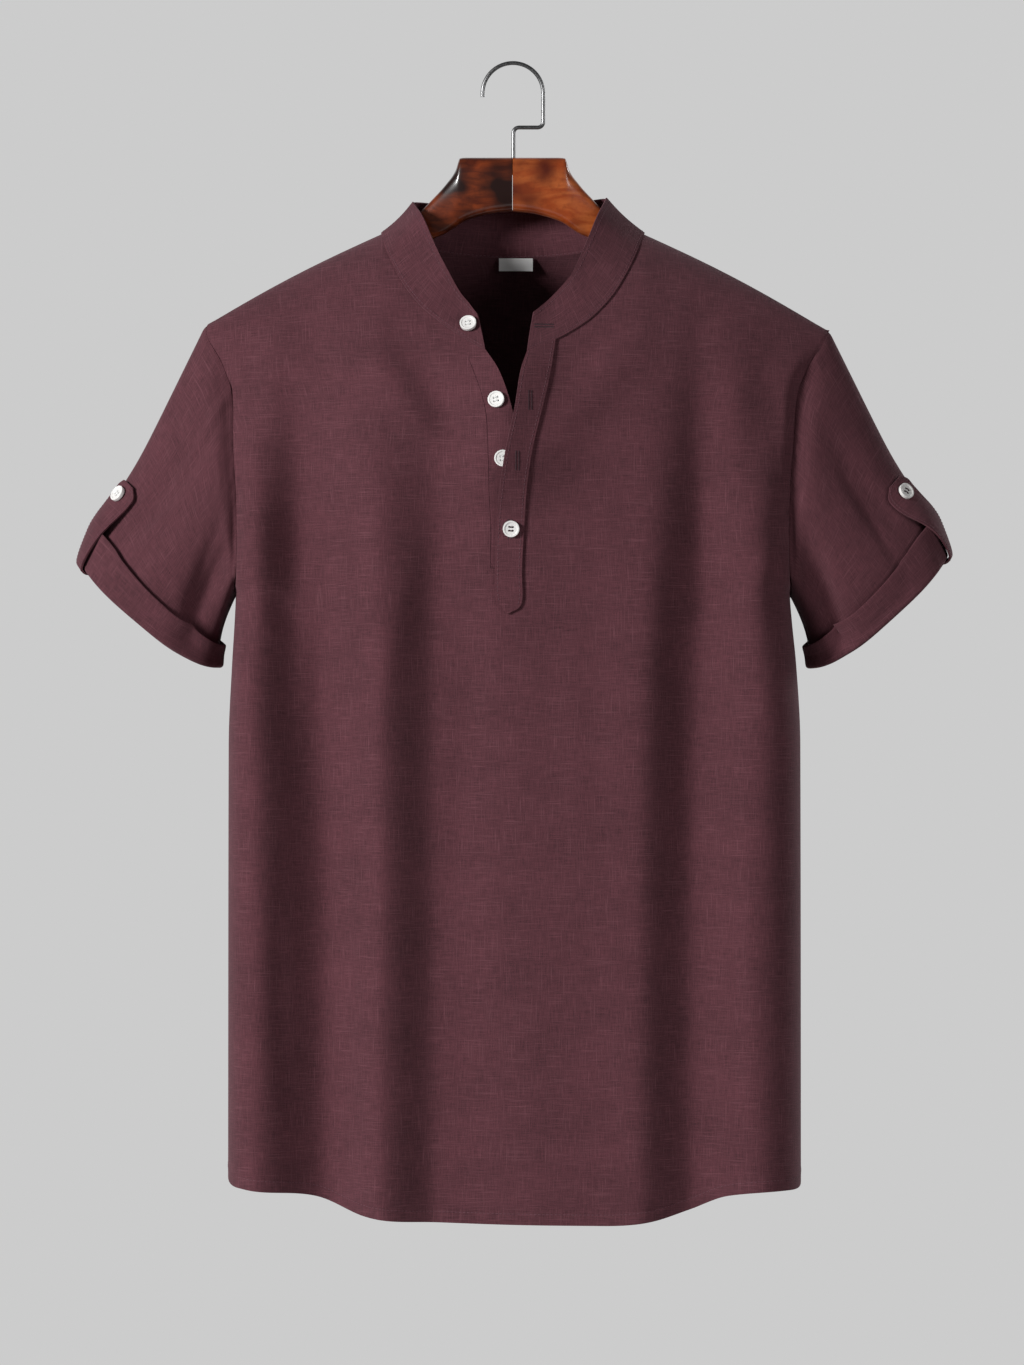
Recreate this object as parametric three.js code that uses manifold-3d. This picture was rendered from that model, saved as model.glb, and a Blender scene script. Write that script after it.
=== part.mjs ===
// A mandarin collar shirt hanging on a contoured wooden coat hanger, in millimetres.
// +X is the right of the picture, -Y faces the viewer and +Z is up.
// The origin is where a rail bears, inside the top of the hook.
import * as THREE from 'three';
import { mergeVertices } from 'three/addons/utils/BufferGeometryUtils.js';
import Module from 'manifold-3d';

const wasm = await Module();
wasm.setup();

// Cloth and seams
const CLOTH = 1.2;
const BAND_CLOTH = 2;
const TAB_CLOTH = 1.6;
const LABEL_CLOTH = 0.6;
const SEAM = 0.3;
const UNDERARM_GAP = 0.36;
const BAND_GAP = 0.45;

// The body of the shirt
const CHEST_FRONT = 85;
const CHEST_BACK = 80;
const SHOULDER_ROUND = 190;
const SHOULDER_EASE = 0.6;
const FORWARD_SWEEP = 14;
const SWEEP_START = 60;
const SWEEP_RUN = 180;
const SWEEP_FADE = 110;
const UNDERARM_Z = -390;
const SLIT_FOOT_Z = -372;
const NECK_POINT = { x: 95, z: -124 };
const SHOULDER_TIP = { x: 229, z: -195 };
const SHOULDER_BOW = 3;
const NECK_RISE = 6;

// Half of the body's width at each level, the section that it is cut from, its middle,
// and how square the section is
const TRUNK = [
  { z: -860, half: 209.8, section: 209.8, middle: 1.5, square: 5.5 },
  { z: -500, half: 209.3, section: 209.3, middle: 1.5, square: 5.5 },
  { z: -440, half: 206.5, section: 206.5, middle: 1.2, square: 5.2 },
  { z: -410, half: 204.2, section: 204.2, middle: 0.6, square: 4.8 },
  { z: -390, half: 203.2, section: 203.2, middle: 0.3, square: 4.4 },
  { z: -375, half: 202.6, section: 211, middle: 0.3, square: 4 },
  { z: -350, half: 202, section: 222, middle: 0.3, square: 3.6 },
  { z: -320, half: 202.4, section: 230, middle: 0.3, square: 3.3 },
  { z: -280, half: 205, section: 235, middle: 0.6, square: 3 },
  { z: -245, half: 207, section: 241, middle: 1.8, square: 2.8 },
  { z: -221, half: 215.5, section: 251, middle: 2.6, square: 2.7 },
  { z: -195, half: 229, section: 252, middle: 3.5, square: 2.6 },
  { z: -100, half: 229, section: 252, middle: 0, square: 2.6 },
];

// The hem, seen from the front
const HEM = [
  { x: -212, z: -811 },
  { x: -204, z: -819 },
  { x: -190, z: -823 },
  { x: -140, z: -829 },
  { x: -106, z: -842 },
  { x: -70, z: -846.5 },
  { x: 63, z: -849 },
  { x: 98, z: -846 },
  { x: 125, z: -838 },
  { x: 150, z: -828 },
  { x: 212, z: -823 },
];
// It climbs on to the side seam, round the flat side of the body
const HEM_SIDE = { rise: 9, reach: 0.75, square: 5.5 };

// The front's folds that hang to the hem, as its section at full depth: how far the cloth
// stands forward at each place across, and the height at which that place begins to fold
const FOLD_RUN = 230;
const FRONT_FOLDS = [
  { x: -216, rise: 2, start: -330 },
  { x: -195, rise: 10, start: -260 },
  { x: -129, rise: -20, start: -150 },
  { x: -94, rise: 7, start: -190 },
  { x: -48, rise: -9, start: -190 },
  { x: 0, rise: -4, start: -330 },
  { x: 58, rise: 0, start: -300 },
  { x: 90, rise: 4, start: -230 },
  { x: 131, rise: -15, start: -150 },
  { x: 188, rise: 9, start: -230 },
  { x: 214, rise: 3, start: -300 },
];
// Two of them lean outward towards the shoulder, by the shift
const FOLD_LEAN = [
  { x: -158, reach: 46, shift: 15 },
  { x: 122, reach: 40, shift: -7 },
];
const LEAN_FOOT = -620;
const LEAN_RUN = 320;
// The back's folds: a ridge stands out where rise is positive
const BACK_FOLDS = [
  { x: -170, width: 24, rise: 6, start: -400 },
  { x: -118, width: 26, rise: -8, start: -300 },
  { x: -66, width: 28, rise: 7, start: -260 },
  { x: -14, width: 30, rise: -6, start: -340 },
  { x: 44, width: 32, rise: 7, start: -300 },
  { x: 104, width: 27, rise: -8, start: -380 },
  { x: 162, width: 26, rise: 7, start: -330 },
];

// Short folds across the chest, from one end to the other
const FRONT_DRAGS = [
  { x0: -122, z0: -184, x1: -18, z1: -330, width: 17, rise: 5 },
  { x0: -92, z0: -186, x1: -34, z1: -292, width: 14, rise: -4 },
  { x0: 96, z0: -196, x1: 16, z1: -300, width: 16, rise: 4 },
  { x0: -196, z0: -196, x1: -176, z1: -330, width: 16, rise: -4 },
  { x0: 190, z0: -190, x1: 172, z1: -330, width: 16, rise: -4 },
  { x0: -160, z0: -186, x1: -138, z1: -300, width: 15, rise: 3 },
];
const BACK_DRAGS = [
  { x0: -190, z0: -200, x1: -90, z1: -330, width: 22, rise: 3 },
  { x0: 190, z0: -200, x1: 96, z1: -320, width: 22, rise: 3 },
];
// A fold is flat where the body is shallower than this, and firm where it is deeper
const FIRM_DEPTH = 30;
const BEAK = { rise: 13, width: 34, top: -170, foot: -352, ease: 60 };

// Rows of the panels above the underarm: height on the armhole edge, and where each
// row ends on the slit and the front neck to the left, to the right, and on the back
const UPPER_ROWS = [
  { arm: -390, left: [-16, -390], right: [3, -390], back: [0, -390] },
  { arm: -383, left: [-16, -372], right: [3, -372], back: [0, -362] },
  { arm: -373, left: [-16, -343], right: [4.2, -343], back: [0, -334] },
  { arm: -357, left: [-17.2, -314], right: [7.6, -314], back: [0, -306] },
  { arm: -338, left: [-18, -285], right: [12.2, -285], back: [0, -278] },
  { arm: -318, left: [-20, -256], right: [19.4, -256], back: [0, -250] },
  { arm: -298, left: [-29, -227], right: [25.2, -229], back: [0, -222] },
  { arm: -278, left: [-41, -199.5], right: [29.5, -205.2], back: [0, -194] },
  { arm: -259, left: [-54, -190], right: [42, -198.5], back: [0, -166] },
  { arm: -242, left: [-67, -178.5], right: [58, -187], back: [0, -140] },
  { arm: -228, left: [-78, -164], right: [73, -170], back: [28, -139] },
  { arm: -215, left: [-86, -149], right: [84, -151], back: [54, -136] },
  { arm: -205, left: [-91.5, -136], right: [91, -135], back: [76, -131] },
  { arm: -198, left: [-94.3, -127], right: [94.4, -127], back: [90, -126.4] },
  { arm: -195, left: [-94.7, -124], right: [95.3, -124], back: [95, -124] },
];
const HALF_COLUMNS = 12;
const LOWER_ROWS = 12;
const COLUMN_SPREAD = 0.3;

// The collar band: a point on the neck seam, the point above it on the band's top
// edge as seen from the front, and how far the top edge stands back from the seam
const COLLAR = [
  { x: -20, z: -212, topX: -25, topZ: -186.5, back: 15 },
  { x: -31, z: -205.8, topX: -31, topZ: -179, back: 15 },
  { x: -41, z: -199.5, topX: -37, topZ: -172, back: 14 },
  { x: -54, z: -190, topX: -42.5, topZ: -163, back: 12 },
  { x: -67, z: -178.5, topX: -48, topZ: -152, back: 9 },
  { x: -78, z: -164, topX: -54, topZ: -140, back: 6 },
  { x: -86, z: -149, topX: -60, topZ: -126, back: 2 },
  { x: -91.5, z: -136, topX: -66, topZ: -112, back: -1 },
  { x: -94.7, z: -124, topX: -72, topZ: -102.5, back: 1 },
  { x: -90, z: -126.4, topX: -70, topZ: -101.5, back: 4, behind: true },
  { x: -76, z: -131, topX: -60, topZ: -101.5, back: 5, behind: true },
  { x: -54, z: -136, topX: -44, topZ: -103, back: 3, behind: true },
  { x: -28, z: -139, topX: -23, topZ: -104.5, back: 1, behind: true },
  { x: 0, z: -140, topX: 0, topZ: -105, back: 0, behind: true },
  { x: 28, z: -139, topX: 22, topZ: -104, back: 1, behind: true },
  { x: 54, z: -136, topX: 42, topZ: -102, back: 3, behind: true },
  { x: 76, z: -131, topX: 57, topZ: -99.5, back: 5, behind: true },
  { x: 90, z: -126.4, topX: 66, topZ: -99, back: 4, behind: true },
  { x: 95.3, z: -124, topX: 68, topZ: -99.5, back: 1 },
  { x: 91, z: -135, topX: 62.5, topZ: -111, back: -1 },
  { x: 84, z: -151, topX: 56.5, topZ: -126, back: 2 },
  { x: 73, z: -170, topX: 49, topZ: -144, back: 6 },
  { x: 58, z: -187, topX: 42, topZ: -158, back: 9 },
  { x: 42, z: -198.5, topX: 33, topZ: -169, back: 12 },
  { x: 29.5, z: -205.2, topX: 25.5, topZ: -176.5, back: 14 },
  { x: 10.6, z: -213, topX: 15, topZ: -185, back: 15 },
];
const BAND_ROWS = 3;
const BAND_CROWN = 1.2;

// The placket strips, from the neck down: left edge, right edge and how far the left
// edge stands off the cloth below it
const UNDER_PLACKET = [
  { left: [-16, -371.6], right: [2, -371.6] },
  { left: [-16, -343], right: [3, -343] },
  { left: [-17.2, -314], right: [3.4, -314] },
  { left: [-18, -285], right: [2.2, -285] },
  { left: [-20, -256], right: [0, -258] },
  { left: [-29, -227], right: [-9, -230] },
  { left: [-40.75, -200.07], right: [-19.7, -212.5] },
];
const OVER_PLACKET = [
  { left: [-4.4, -404.8], right: [-2.6, -404.8], lift: 0 },
  { left: [-12.3, -393.5], right: [6.6, -397], lift: 0 },
  { left: [-12.8, -370], right: [6.9, -372], lift: 0 },
  { left: [-12, -343], right: [8.4, -343], lift: 0 },
  { left: [-9.2, -314], right: [10.4, -314], lift: 3.2 },
  { left: [-4.6, -285], right: [14.6, -285], lift: 5.4 },
  { left: [1.6, -256], right: [21.6, -256], lift: 3.8 },
  { left: [5.8, -229], right: [27.6, -229], lift: 2 },
  { left: [10.6, -213.6], right: [31.4, -204.8], lift: 0.6 },
];
const PLACKET_COLUMNS = 4;
const PLACKET_LAP = 0.8;

// Buttons on the body: place seen from the front and what each is sewn to
const BUTTON = {
  radius: 6, thick: 2.4, rim: 1.1, hole: 0.75, spread: 1.35, sides: 18, backChamfer: [1.2, 0.9], edge: 0.5, dish: 0.6,
};
const BUTTON_SEAT = 0.8;
const BODY_BUTTONS = [
  { x: -31.9, z: -195.3, on: 'band' },
  { x: -11.3, z: -250, on: 'under' },
  { x: -6.9, z: -293.8, on: 'under' },
  { x: -1.1, z: -343.5, on: 'over' },
];

// Sleeves and their turned-up cuffs; side is -1 at the left of the picture, 1 at the right
const SLEEVE_STEPS = [0, 0.07, 0.17, 0.29, 0.42, 0.56, 0.7, 0.84, 0.93, 1];
const CUFFS = [
  { side: -1, outer: [-312.5, -368.5], inner: [-216.5, -442], depth: 42, middleY: -6 },
  { side: 1, outer: [315.5, -363], inner: [219.5, -442.5], depth: 42, middleY: -6 },
];
const CUFF_SQUARENESS = 2.5;
const CUFF_DROOP = 12;
const CUFF_HEIGHT = { outer: 27, inner: 15 };
const SLEEVE_FLARE = { rise: 5, at: 0.8, reach: 0.18 };
const SLEEVE_MIDDLE_Z = { side: -290, hollow: -292 };
const SLEEVE_TUCK = 3.5;
const FOLD_SHARE = { over: 0.98, above: 0.96, tab: 0.97 };
const SAMPLE_STEP = 0.02;
const SLEEVE_FOLDS = [
  { angle: 126, width: 20, rise: -15, from: 0, to: 1.05 },
  { angle: 84, width: 20, rise: 5, from: 0.1, to: 0.95 },
  { angle: 44, width: 15, rise: -4, from: 0.15, to: 0.9 },
  { angle: 234, width: 22, rise: -13, from: 0, to: 1.05 },
  { angle: 282, width: 24, rise: 5, from: 0.1, to: 0.95 },
];
// The cuff's section: r stands off the sleeve, h runs up from the fold
const CUFF_SECTION = [
  { r: -1.2, h: -0.7 },
  { r: -0.5, h: -1.5 },
  { r: 1.2, h: -2 },
  { r: 3, h: -1.2 },
  { r: 3.8, h: 0.6 },
  { r: 4, h: 6 },
  { r: 4.2, part: 0.6 },
  { r: 4.6, part: 1 },
  { r: 3.2, part: 1 },
  { r: 2.8, part: 0.6 },
  { r: 2.4, h: 6 },
  { r: 1.6, h: 1 },
  { r: 0.4, h: -0.7 },
];

// The tabs: distance round the sleeve from its outer edge, at the button and at the fold
const TABS = [
  { side: -1, atButton: 15, atFold: 13 },
  { side: 1, atButton: 20, atFold: 7 },
];
const TAB_WIDTH = 23;
const TAB_BUTTON_H = 56;
// The outer face of the tab, from its end inside the sleeve round the fold to its tip
const TAB_SECTION = [
  { r: -3.6, h: 57, width: 1 },
  { r: -4.8, h: 46, width: 1 },
  { r: -5, h: 28, width: 1 },
  { r: -4.4, h: 6, width: 1 },
  { r: -3.8, h: -1.4, width: 1 },
  { r: -1.8, h: -3.2, width: 1 },
  { r: 1.4, h: -4, width: 1 },
  { r: 5, h: -3.2, width: 1 },
  { r: 7.2, h: -0.8, width: 1 },
  { r: 8.2, h: 6, width: 1 },
  { r: 8.2, h: 16, width: 1 },
  { r: 7.8, h: 27, width: 1 },
  { r: 6.4, h: 36, width: 1 },
  { r: 4.8, h: 45, width: 1 },
  { r: 3.8, h: 55, width: 1 },
  { r: 3.6, h: 62, width: 0.92 },
  { r: 3.6, h: 67, width: 0.5 },
];
const TAB_COLUMNS = 4;

// The hanger's arms, from the centre joint out: top and bottom of the wood, and its thickness
const ARM = [
  { x: 0.15, top: -68.3, bottom: -108, thick: 22 },
  { x: 16, top: -68.3, bottom: -109.8, thick: 21.5 },
  { x: 32, top: -68.3, bottom: -114, thick: 20 },
  { x: 38.5, top: -68.6, bottom: -117, thick: 19 },
  { x: 42, top: -78, bottom: -119.5, thick: 18 },
  { x: 49, top: -88, bottom: -124, thick: 16 },
  { x: 58, top: -98, bottom: -128, thick: 14 },
  { x: 69, top: -109, bottom: -132.5, thick: 12 },
  { x: 82, top: -119.5, bottom: -138, thick: 11 },
  { x: 97, top: -128.8, bottom: -146, thick: 11 },
  { x: 130, top: -145, bottom: -163, thick: 13 },
  { x: 165, top: -162.5, bottom: -182, thick: 15 },
  { x: 195, top: -179.5, bottom: -200, thick: 17 },
  { x: 207, top: -187.5, bottom: -205, thick: 15 },
  { x: 213, top: -193, bottom: -203.5, thick: 9 },
];
const ARM_SIDES = 16;
const ARM_SQUARENESS = 3;

// The wire hook
const WIRE = 3;
const BORE = { radius: 1.9, depth: 14, sides: 16 };
const WIRE_SIDES = 8;
const WIRE_STEPS = 64;
const HOOK = {
  stemX: 0.7, stemFoot: -81, jogZ: -46, riserX: 22.6, bowZ: -20.8, bow: 22.3, turn: 1.04 * Math.PI, corner: 4,
};

// The label inside the back of the neck
const LABEL = { left: -10, right: 15, top: -140.9, bottom: -150.4, seam: -140, steps: 5 };

// Colours
const PLUM = { color: 0x5a2f3b, roughness: 0.9, metalness: 0 };
const WHITE_SHELL = { color: 0xf1f0ee, roughness: 0.3, metalness: 0 };
const LABEL_WHITE = { color: 0xeeeeec, roughness: 0.85, metalness: 0 };
const LACQUER = { color: 0x7a2a12, roughness: 0.22, metalness: 0 };
const STEEL = { color: 0x9a9a9a, roughness: 0.35, metalness: 1 };

const group = new THREE.Group();

function addPart(name, geometry, finish) {
  const mesh = new THREE.Mesh(geometry, new THREE.MeshStandardMaterial(finish));
  mesh.name = name;
  group.add(mesh);
}

// Reads a column of a table at a place between its rows
function lookUp(table, key, place, column) {
  const rising = table[0][key] < table[table.length - 1][key];
  const rows = rising ? table : [...table].reverse();
  if (place <= rows[0][key]) return rows[0][column];
  for (let i = 1; i < rows.length; i += 1) {
    if (place <= rows[i][key]) {
      const share = (place - rows[i - 1][key]) / (rows[i][key] - rows[i - 1][key]);
      return rows[i - 1][column] + share * (rows[i][column] - rows[i - 1][column]);
    }
  }
  return rows[rows.length - 1][column];
}

const clamp = (value, low, high) => Math.min(high, Math.max(low, value));
const mix = (a, b, share) => a + (b - a) * share;

function smooth(value) {
  const t = clamp(value, 0, 1);
  return t * t * (3 - 2 * t);
}

// Height of the shoulder line over a place, bowed a little between neck and tip
function shoulderZ(x) {
  const across = Math.abs(x);
  if (across < NECK_POINT.x) {
    return NECK_POINT.z + NECK_RISE * (1 - (across / NECK_POINT.x) ** 2);
  }
  const share = (across - NECK_POINT.x) / (SHOULDER_TIP.x - NECK_POINT.x);
  const bow = SHOULDER_BOW * Math.sin(Math.PI * clamp(share, 0, 1));
  return mix(NECK_POINT.z, SHOULDER_TIP.z, share) + bow;
}

// How far the shoulders lean forward, as the contoured arms of the hanger do
function sweep(x) {
  return -FORWARD_SWEEP * smooth((Math.abs(x) - SWEEP_START) / SWEEP_RUN);
}

// Reads a column of a table as lookUp does, level at each row and rounded in between
function rounded(table, key, place, column) {
  for (let i = 1; i < table.length; i += 1) {
    const [a, b] = [table[i - 1], table[i]];
    if (place <= b[key]) return mix(a[column], b[column], smooth((place - a[key]) / (b[key] - a[key])));
  }
  return table[table.length - 1][column];
}

function frontFolds(x, z) {
  let place = x;
  for (const { x: centre, reach, shift } of FOLD_LEAN) {
    place += shift * Math.exp(-(((x - centre) / reach) ** 2)) * smooth((z - LEAN_FOOT) / LEAN_RUN);
  }
  const start = rounded(FRONT_FOLDS, 'x', place, 'start');
  return rounded(FRONT_FOLDS, 'x', place, 'rise') * smooth((start - z) / FOLD_RUN);
}

function backFolds(x, z) {
  let height = 0;
  for (const fold of BACK_FOLDS) {
    const near = Math.exp(-(((x - fold.x) / fold.width) ** 2));
    height += fold.rise * near * smooth((fold.start - z) / FOLD_RUN);
  }
  return height;
}

function dragHeight(drags, x, z) {
  let height = 0;
  for (const drag of drags) {
    const dx = drag.x1 - drag.x0;
    const dz = drag.z1 - drag.z0;
    const length = Math.hypot(dx, dz);
    const along = ((x - drag.x0) * dx + (z - drag.z0) * dz) / length ** 2;
    const aside = ((x - drag.x0) * dz - (z - drag.z0) * dx) / length;
    const fade = along > 0 && along < 1 ? Math.sin(Math.PI * along) : 0;
    height += drag.rise * fade * Math.exp(-((aside / drag.width) ** 2));
  }
  return height;
}

// Distance of the body's cloth from the middle plane, before folds
function bodyDepth(x, z, chest) {
  const across = Math.abs(x - lookUp(TRUNK, 'z', z, 'middle')) / lookUp(TRUNK, 'z', z, 'section');
  const square = lookUp(TRUNK, 'z', z, 'square');
  const section = Math.max(0, 1 - across ** square) ** (1 / square);
  const below = clamp((shoulderZ(x) - z) / SHOULDER_ROUND, 0, 1);
  return chest * section * Math.sin((Math.PI / 2) * below) ** SHOULDER_EASE;
}

function sweepHere(x, z) {
  return sweep(x) * Math.exp(-Math.max(0, shoulderZ(x) - z) / SWEEP_FADE);
}

function frontPoint(x, z) {
  const depth = bodyDepth(x, z, CHEST_FRONT);
  const firm = smooth(depth / FIRM_DEPTH);
  const beakTop = smooth((BEAK.top - z) / BEAK.ease);
  const beakFoot = smooth((z - BEAK.foot) / BEAK.ease);
  const beak = BEAK.rise * beakTop * beakFoot * Math.exp(-((x / BEAK.width) ** 2));
  const folds = (frontFolds(x, z) + dragHeight(FRONT_DRAGS, x, z)) * firm;
  return new THREE.Vector3(x, -SEAM / 2 - depth - folds - beak + sweepHere(x, z), z);
}

function backPoint(x, z) {
  const depth = bodyDepth(x, z, CHEST_BACK);
  const firm = smooth(depth / FIRM_DEPTH);
  const folds = (backFolds(x, z) + dragHeight(BACK_DRAGS, x, z)) * firm;
  return new THREE.Vector3(x, SEAM / 2 + depth + folds + sweepHere(x, z), z);
}

// Averages the faces round each point of a grid, over the cells that are kept
function gridNormals(points, ring, keep) {
  const normals = points.map((row) => row.map(() => new THREE.Vector3()));
  const last = points[0].length;
  for (let r = 0; r < points.length - 1; r += 1) {
    for (let c = 0; c < (ring ? last : last - 1); c += 1) {
      if (!keep(r, c)) continue;
      const d = (c + 1) % last;
      const across = points[r][d].clone().add(points[r + 1][d]).sub(points[r][c]).sub(points[r + 1][c]);
      const up = points[r + 1][c].clone().add(points[r + 1][d]).sub(points[r][c]).sub(points[r][d]);
      const face = across.cross(up);
      for (const [i, j] of [[r, c], [r, d], [r + 1, c], [r + 1, d]]) normals[i][j].add(face);
    }
  }
  for (const row of normals) row.forEach((normal) => normal.normalize());
  return normals;
}

// Lays triangles over a list of corners given as Vector3
class Skin {
  constructor() {
    this.positions = [];
  }

  quad(a, b, c, d) {
    for (const corner of [a, b, c, a, c, d]) this.positions.push(corner.x, corner.y, corner.z);
  }

  triangle(a, b, c) {
    for (const corner of [a, b, c]) this.positions.push(corner.x, corner.y, corner.z);
  }

  geometry() {
    const made = new THREE.BufferGeometry();
    made.setAttribute('position', new THREE.Float32BufferAttribute(this.positions, 3));
    return mergeVertices(made, 1e-5);
  }
}

// A wall of cloth: outer points in rows, the inner face a thickness behind them,
// and a strip of edge wherever a kept cell has no kept neighbour
function wall(points, thickness, { ring = false, keep = () => true, turn = () => {} } = {}) {
  const normals = gridNormals(points, ring, keep);
  turn(normals);
  const inner = points.map((row, r) => row.map((point, c) => (
    point.clone().addScaledVector(normals[r][c], -thickness))));
  const rows = points.length - 1;
  const columns = ring ? points[0].length : points[0].length - 1;
  const next = (c) => (c + 1) % points[0].length;
  const kept = (r, c) => {
    if (r < 0 || r >= rows) return false;
    if (ring) return keep(r, (c + columns) % columns);
    return c >= 0 && c < columns && keep(r, c);
  };
  const skin = new Skin();
  for (let r = 0; r < rows; r += 1) {
    for (let c = 0; c < columns; c += 1) {
      if (!kept(r, c)) continue;
      const d = next(c);
      skin.quad(points[r][c], points[r][d], points[r + 1][d], points[r + 1][c]);
      skin.quad(inner[r][c], inner[r + 1][c], inner[r + 1][d], inner[r][d]);
      const edges = [
        { open: !kept(r - 1, c), from: [r, c], to: [r, d] },
        { open: !kept(r, c + 1), from: [r, d], to: [r + 1, d] },
        { open: !kept(r + 1, c), from: [r + 1, d], to: [r + 1, c] },
        { open: !kept(r, c - 1), from: [r + 1, c], to: [r, c] },
      ];
      for (const { open, from, to } of edges) {
        if (!open) continue;
        const [i, j] = from;
        const [k, l] = to;
        skin.quad(points[k][l], points[i][j], inner[i][j], inner[k][l]);
      }
    }
  }
  return { geometry: skin.geometry(), normals };
}

// Share of the way from a row's inner end to its outer end, closer together at the side
function columnShare(k) {
  const u = k / HALF_COLUMNS;
  return COLUMN_SPREAD * (1 - u) + (1 - COLUMN_SPREAD) * Math.cos((Math.PI / 2) * u);
}

function sideX(side, z) {
  return lookUp(TRUNK, 'z', z, 'middle') + side * lookUp(TRUNK, 'z', z, 'half');
}

// One row of a panel's half, from the outer end to the inner end
function halfRow(pointAt, side, armZ, [innerX, innerZ]) {
  const row = [];
  for (let k = 0; k <= HALF_COLUMNS; k += 1) {
    const x = mix(innerX, sideX(side, armZ), columnShare(k));
    const z = mix(innerZ, armZ, columnShare(k));
    const onShoulder = armZ === SHOULDER_TIP.z;
    row.push(pointAt(x, onShoulder ? shoulderZ(x) : Math.min(z, shoulderZ(x))));
  }
  return row;
}

function hemZ(x) {
  const half = lookUp(TRUNK, 'z', UNDERARM_Z, 'half');
  const across = Math.min(1, Math.abs(x - lookUp(TRUNK, 'z', UNDERARM_Z, 'middle')) / half);
  const { rise, reach, square } = HEM_SIDE;
  const forward = (1 - across ** square) ** (1 / square);
  return lookUp(HEM, 'x', x, 'z') + rise * smooth(1 - forward / reach);
}

// One row below the underarm, which runs level at the top and with the hem at the foot
function lowerHalfRow(pointAt, side, share, innerX) {
  const row = [];
  for (let k = 0; k <= HALF_COLUMNS; k += 1) {
    const flatX = mix(innerX, sideX(side, UNDERARM_Z), columnShare(k));
    const z = mix(hemZ(flatX), UNDERARM_Z, share);
    row.push(pointAt(mix(innerX, sideX(side, z), columnShare(k)), z));
  }
  return row;
}

function frontGrid() {
  const grid = [];
  for (let r = 0; r < LOWER_ROWS; r += 1) {
    const share = r / LOWER_ROWS;
    const left = lowerHalfRow(frontPoint, -1, share, UPPER_ROWS[0].left[0]);
    const right = lowerHalfRow(frontPoint, 1, share, UPPER_ROWS[0].right[0]);
    grid.push([...left, ...right.reverse()]);
  }
  for (const row of UPPER_ROWS) {
    const left = halfRow(frontPoint, -1, row.arm, row.left);
    const right = halfRow(frontPoint, 1, row.arm, row.right);
    grid.push([...left, ...right.reverse()]);
  }
  return grid;
}

function backGrid() {
  const grid = [];
  for (let r = 0; r < LOWER_ROWS; r += 1) {
    const right = lowerHalfRow(backPoint, 1, r / LOWER_ROWS, 0);
    const left = lowerHalfRow(backPoint, -1, r / LOWER_ROWS, 0);
    grid.push([...right, ...left.reverse()]);
  }
  for (const row of UPPER_ROWS) {
    const [x, z] = row.back;
    const ends = { right: row.arm === SHOULDER_TIP.z ? row.right : [x, z] };
    ends.left = row.arm === SHOULDER_TIP.z ? row.left : [-x, z];
    const right = halfRow(backPoint, 1, row.arm, ends.right);
    const left = halfRow(backPoint, -1, row.arm, ends.left);
    grid.push([...right, ...left.reverse()]);
  }
  return grid;
}

// Turns the normals on the shoulder and side seams into the plane that both panels share
function squareSeams(normals) {
  const top = normals.length - 1;
  normals.forEach((row, r) => {
    const seams = r <= LOWER_ROWS ? [0, row.length - 1] : [];
    if (r === top) row.forEach((_, c) => seams.push(c));
    for (const c of seams) {
      row[c].y = 0;
      row[c].normalize();
    }
  });
}

const front = frontGrid();
const back = backGrid();
const SLIT_COLUMN = HALF_COLUMNS;
const SLIT_ROW = LOWER_ROWS + UPPER_ROWS.findIndex((row) => row.left[1] === SLIT_FOOT_Z);
const NECK_ROW = LOWER_ROWS + UPPER_ROWS.findIndex((row) => row.back[0] > 0) - 1;

const belowSlit = (r, c) => c !== SLIT_COLUMN || r < SLIT_ROW;
const belowNeck = (r, c) => c !== SLIT_COLUMN || r < NECK_ROW;
const frontWall = wall(front, CLOTH, { keep: belowSlit, turn: squareSeams });
const backWall = wall(back, CLOTH, { keep: belowNeck, turn: squareSeams });
addPart('front_panel', frontWall.geometry, PLUM);
addPart('back_panel', backWall.geometry, PLUM);

// The armhole as a loop from the shoulder tip down the front and up the back,
// moved off the panels by the seam's gap
function armhole(side) {
  const frontEdge = side < 0 ? 0 : front[0].length - 1;
  const backEdge = side < 0 ? back[0].length - 1 : 0;
  const edgePoint = (grid, normals, r, c) => {
    const beside = grid[r][c === 0 ? 1 : c - 1];
    const out = grid[r][c].clone().sub(beside).normalize();
    return { point: grid[r][c].clone().addScaledVector(out, SEAM), normal: normals[r][c], out };
  };
  const first = LOWER_ROWS;
  const last = front.length - 1;
  const loop = [];
  for (let r = last; r >= first; r -= 1) loop.push(edgePoint(front, frontWall.normals, r, frontEdge));
  for (let r = first + 1; r < last; r += 1) loop.push(edgePoint(back, backWall.normals, r, backEdge));
  loop[0].point.y = sweep(SHOULDER_TIP.x);
  const underarm = loop[last - first];
  underarm.point.set(sideX(side, UNDERARM_Z) + side * UNDERARM_GAP, 0, UNDERARM_Z);
  return loop;
}

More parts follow.
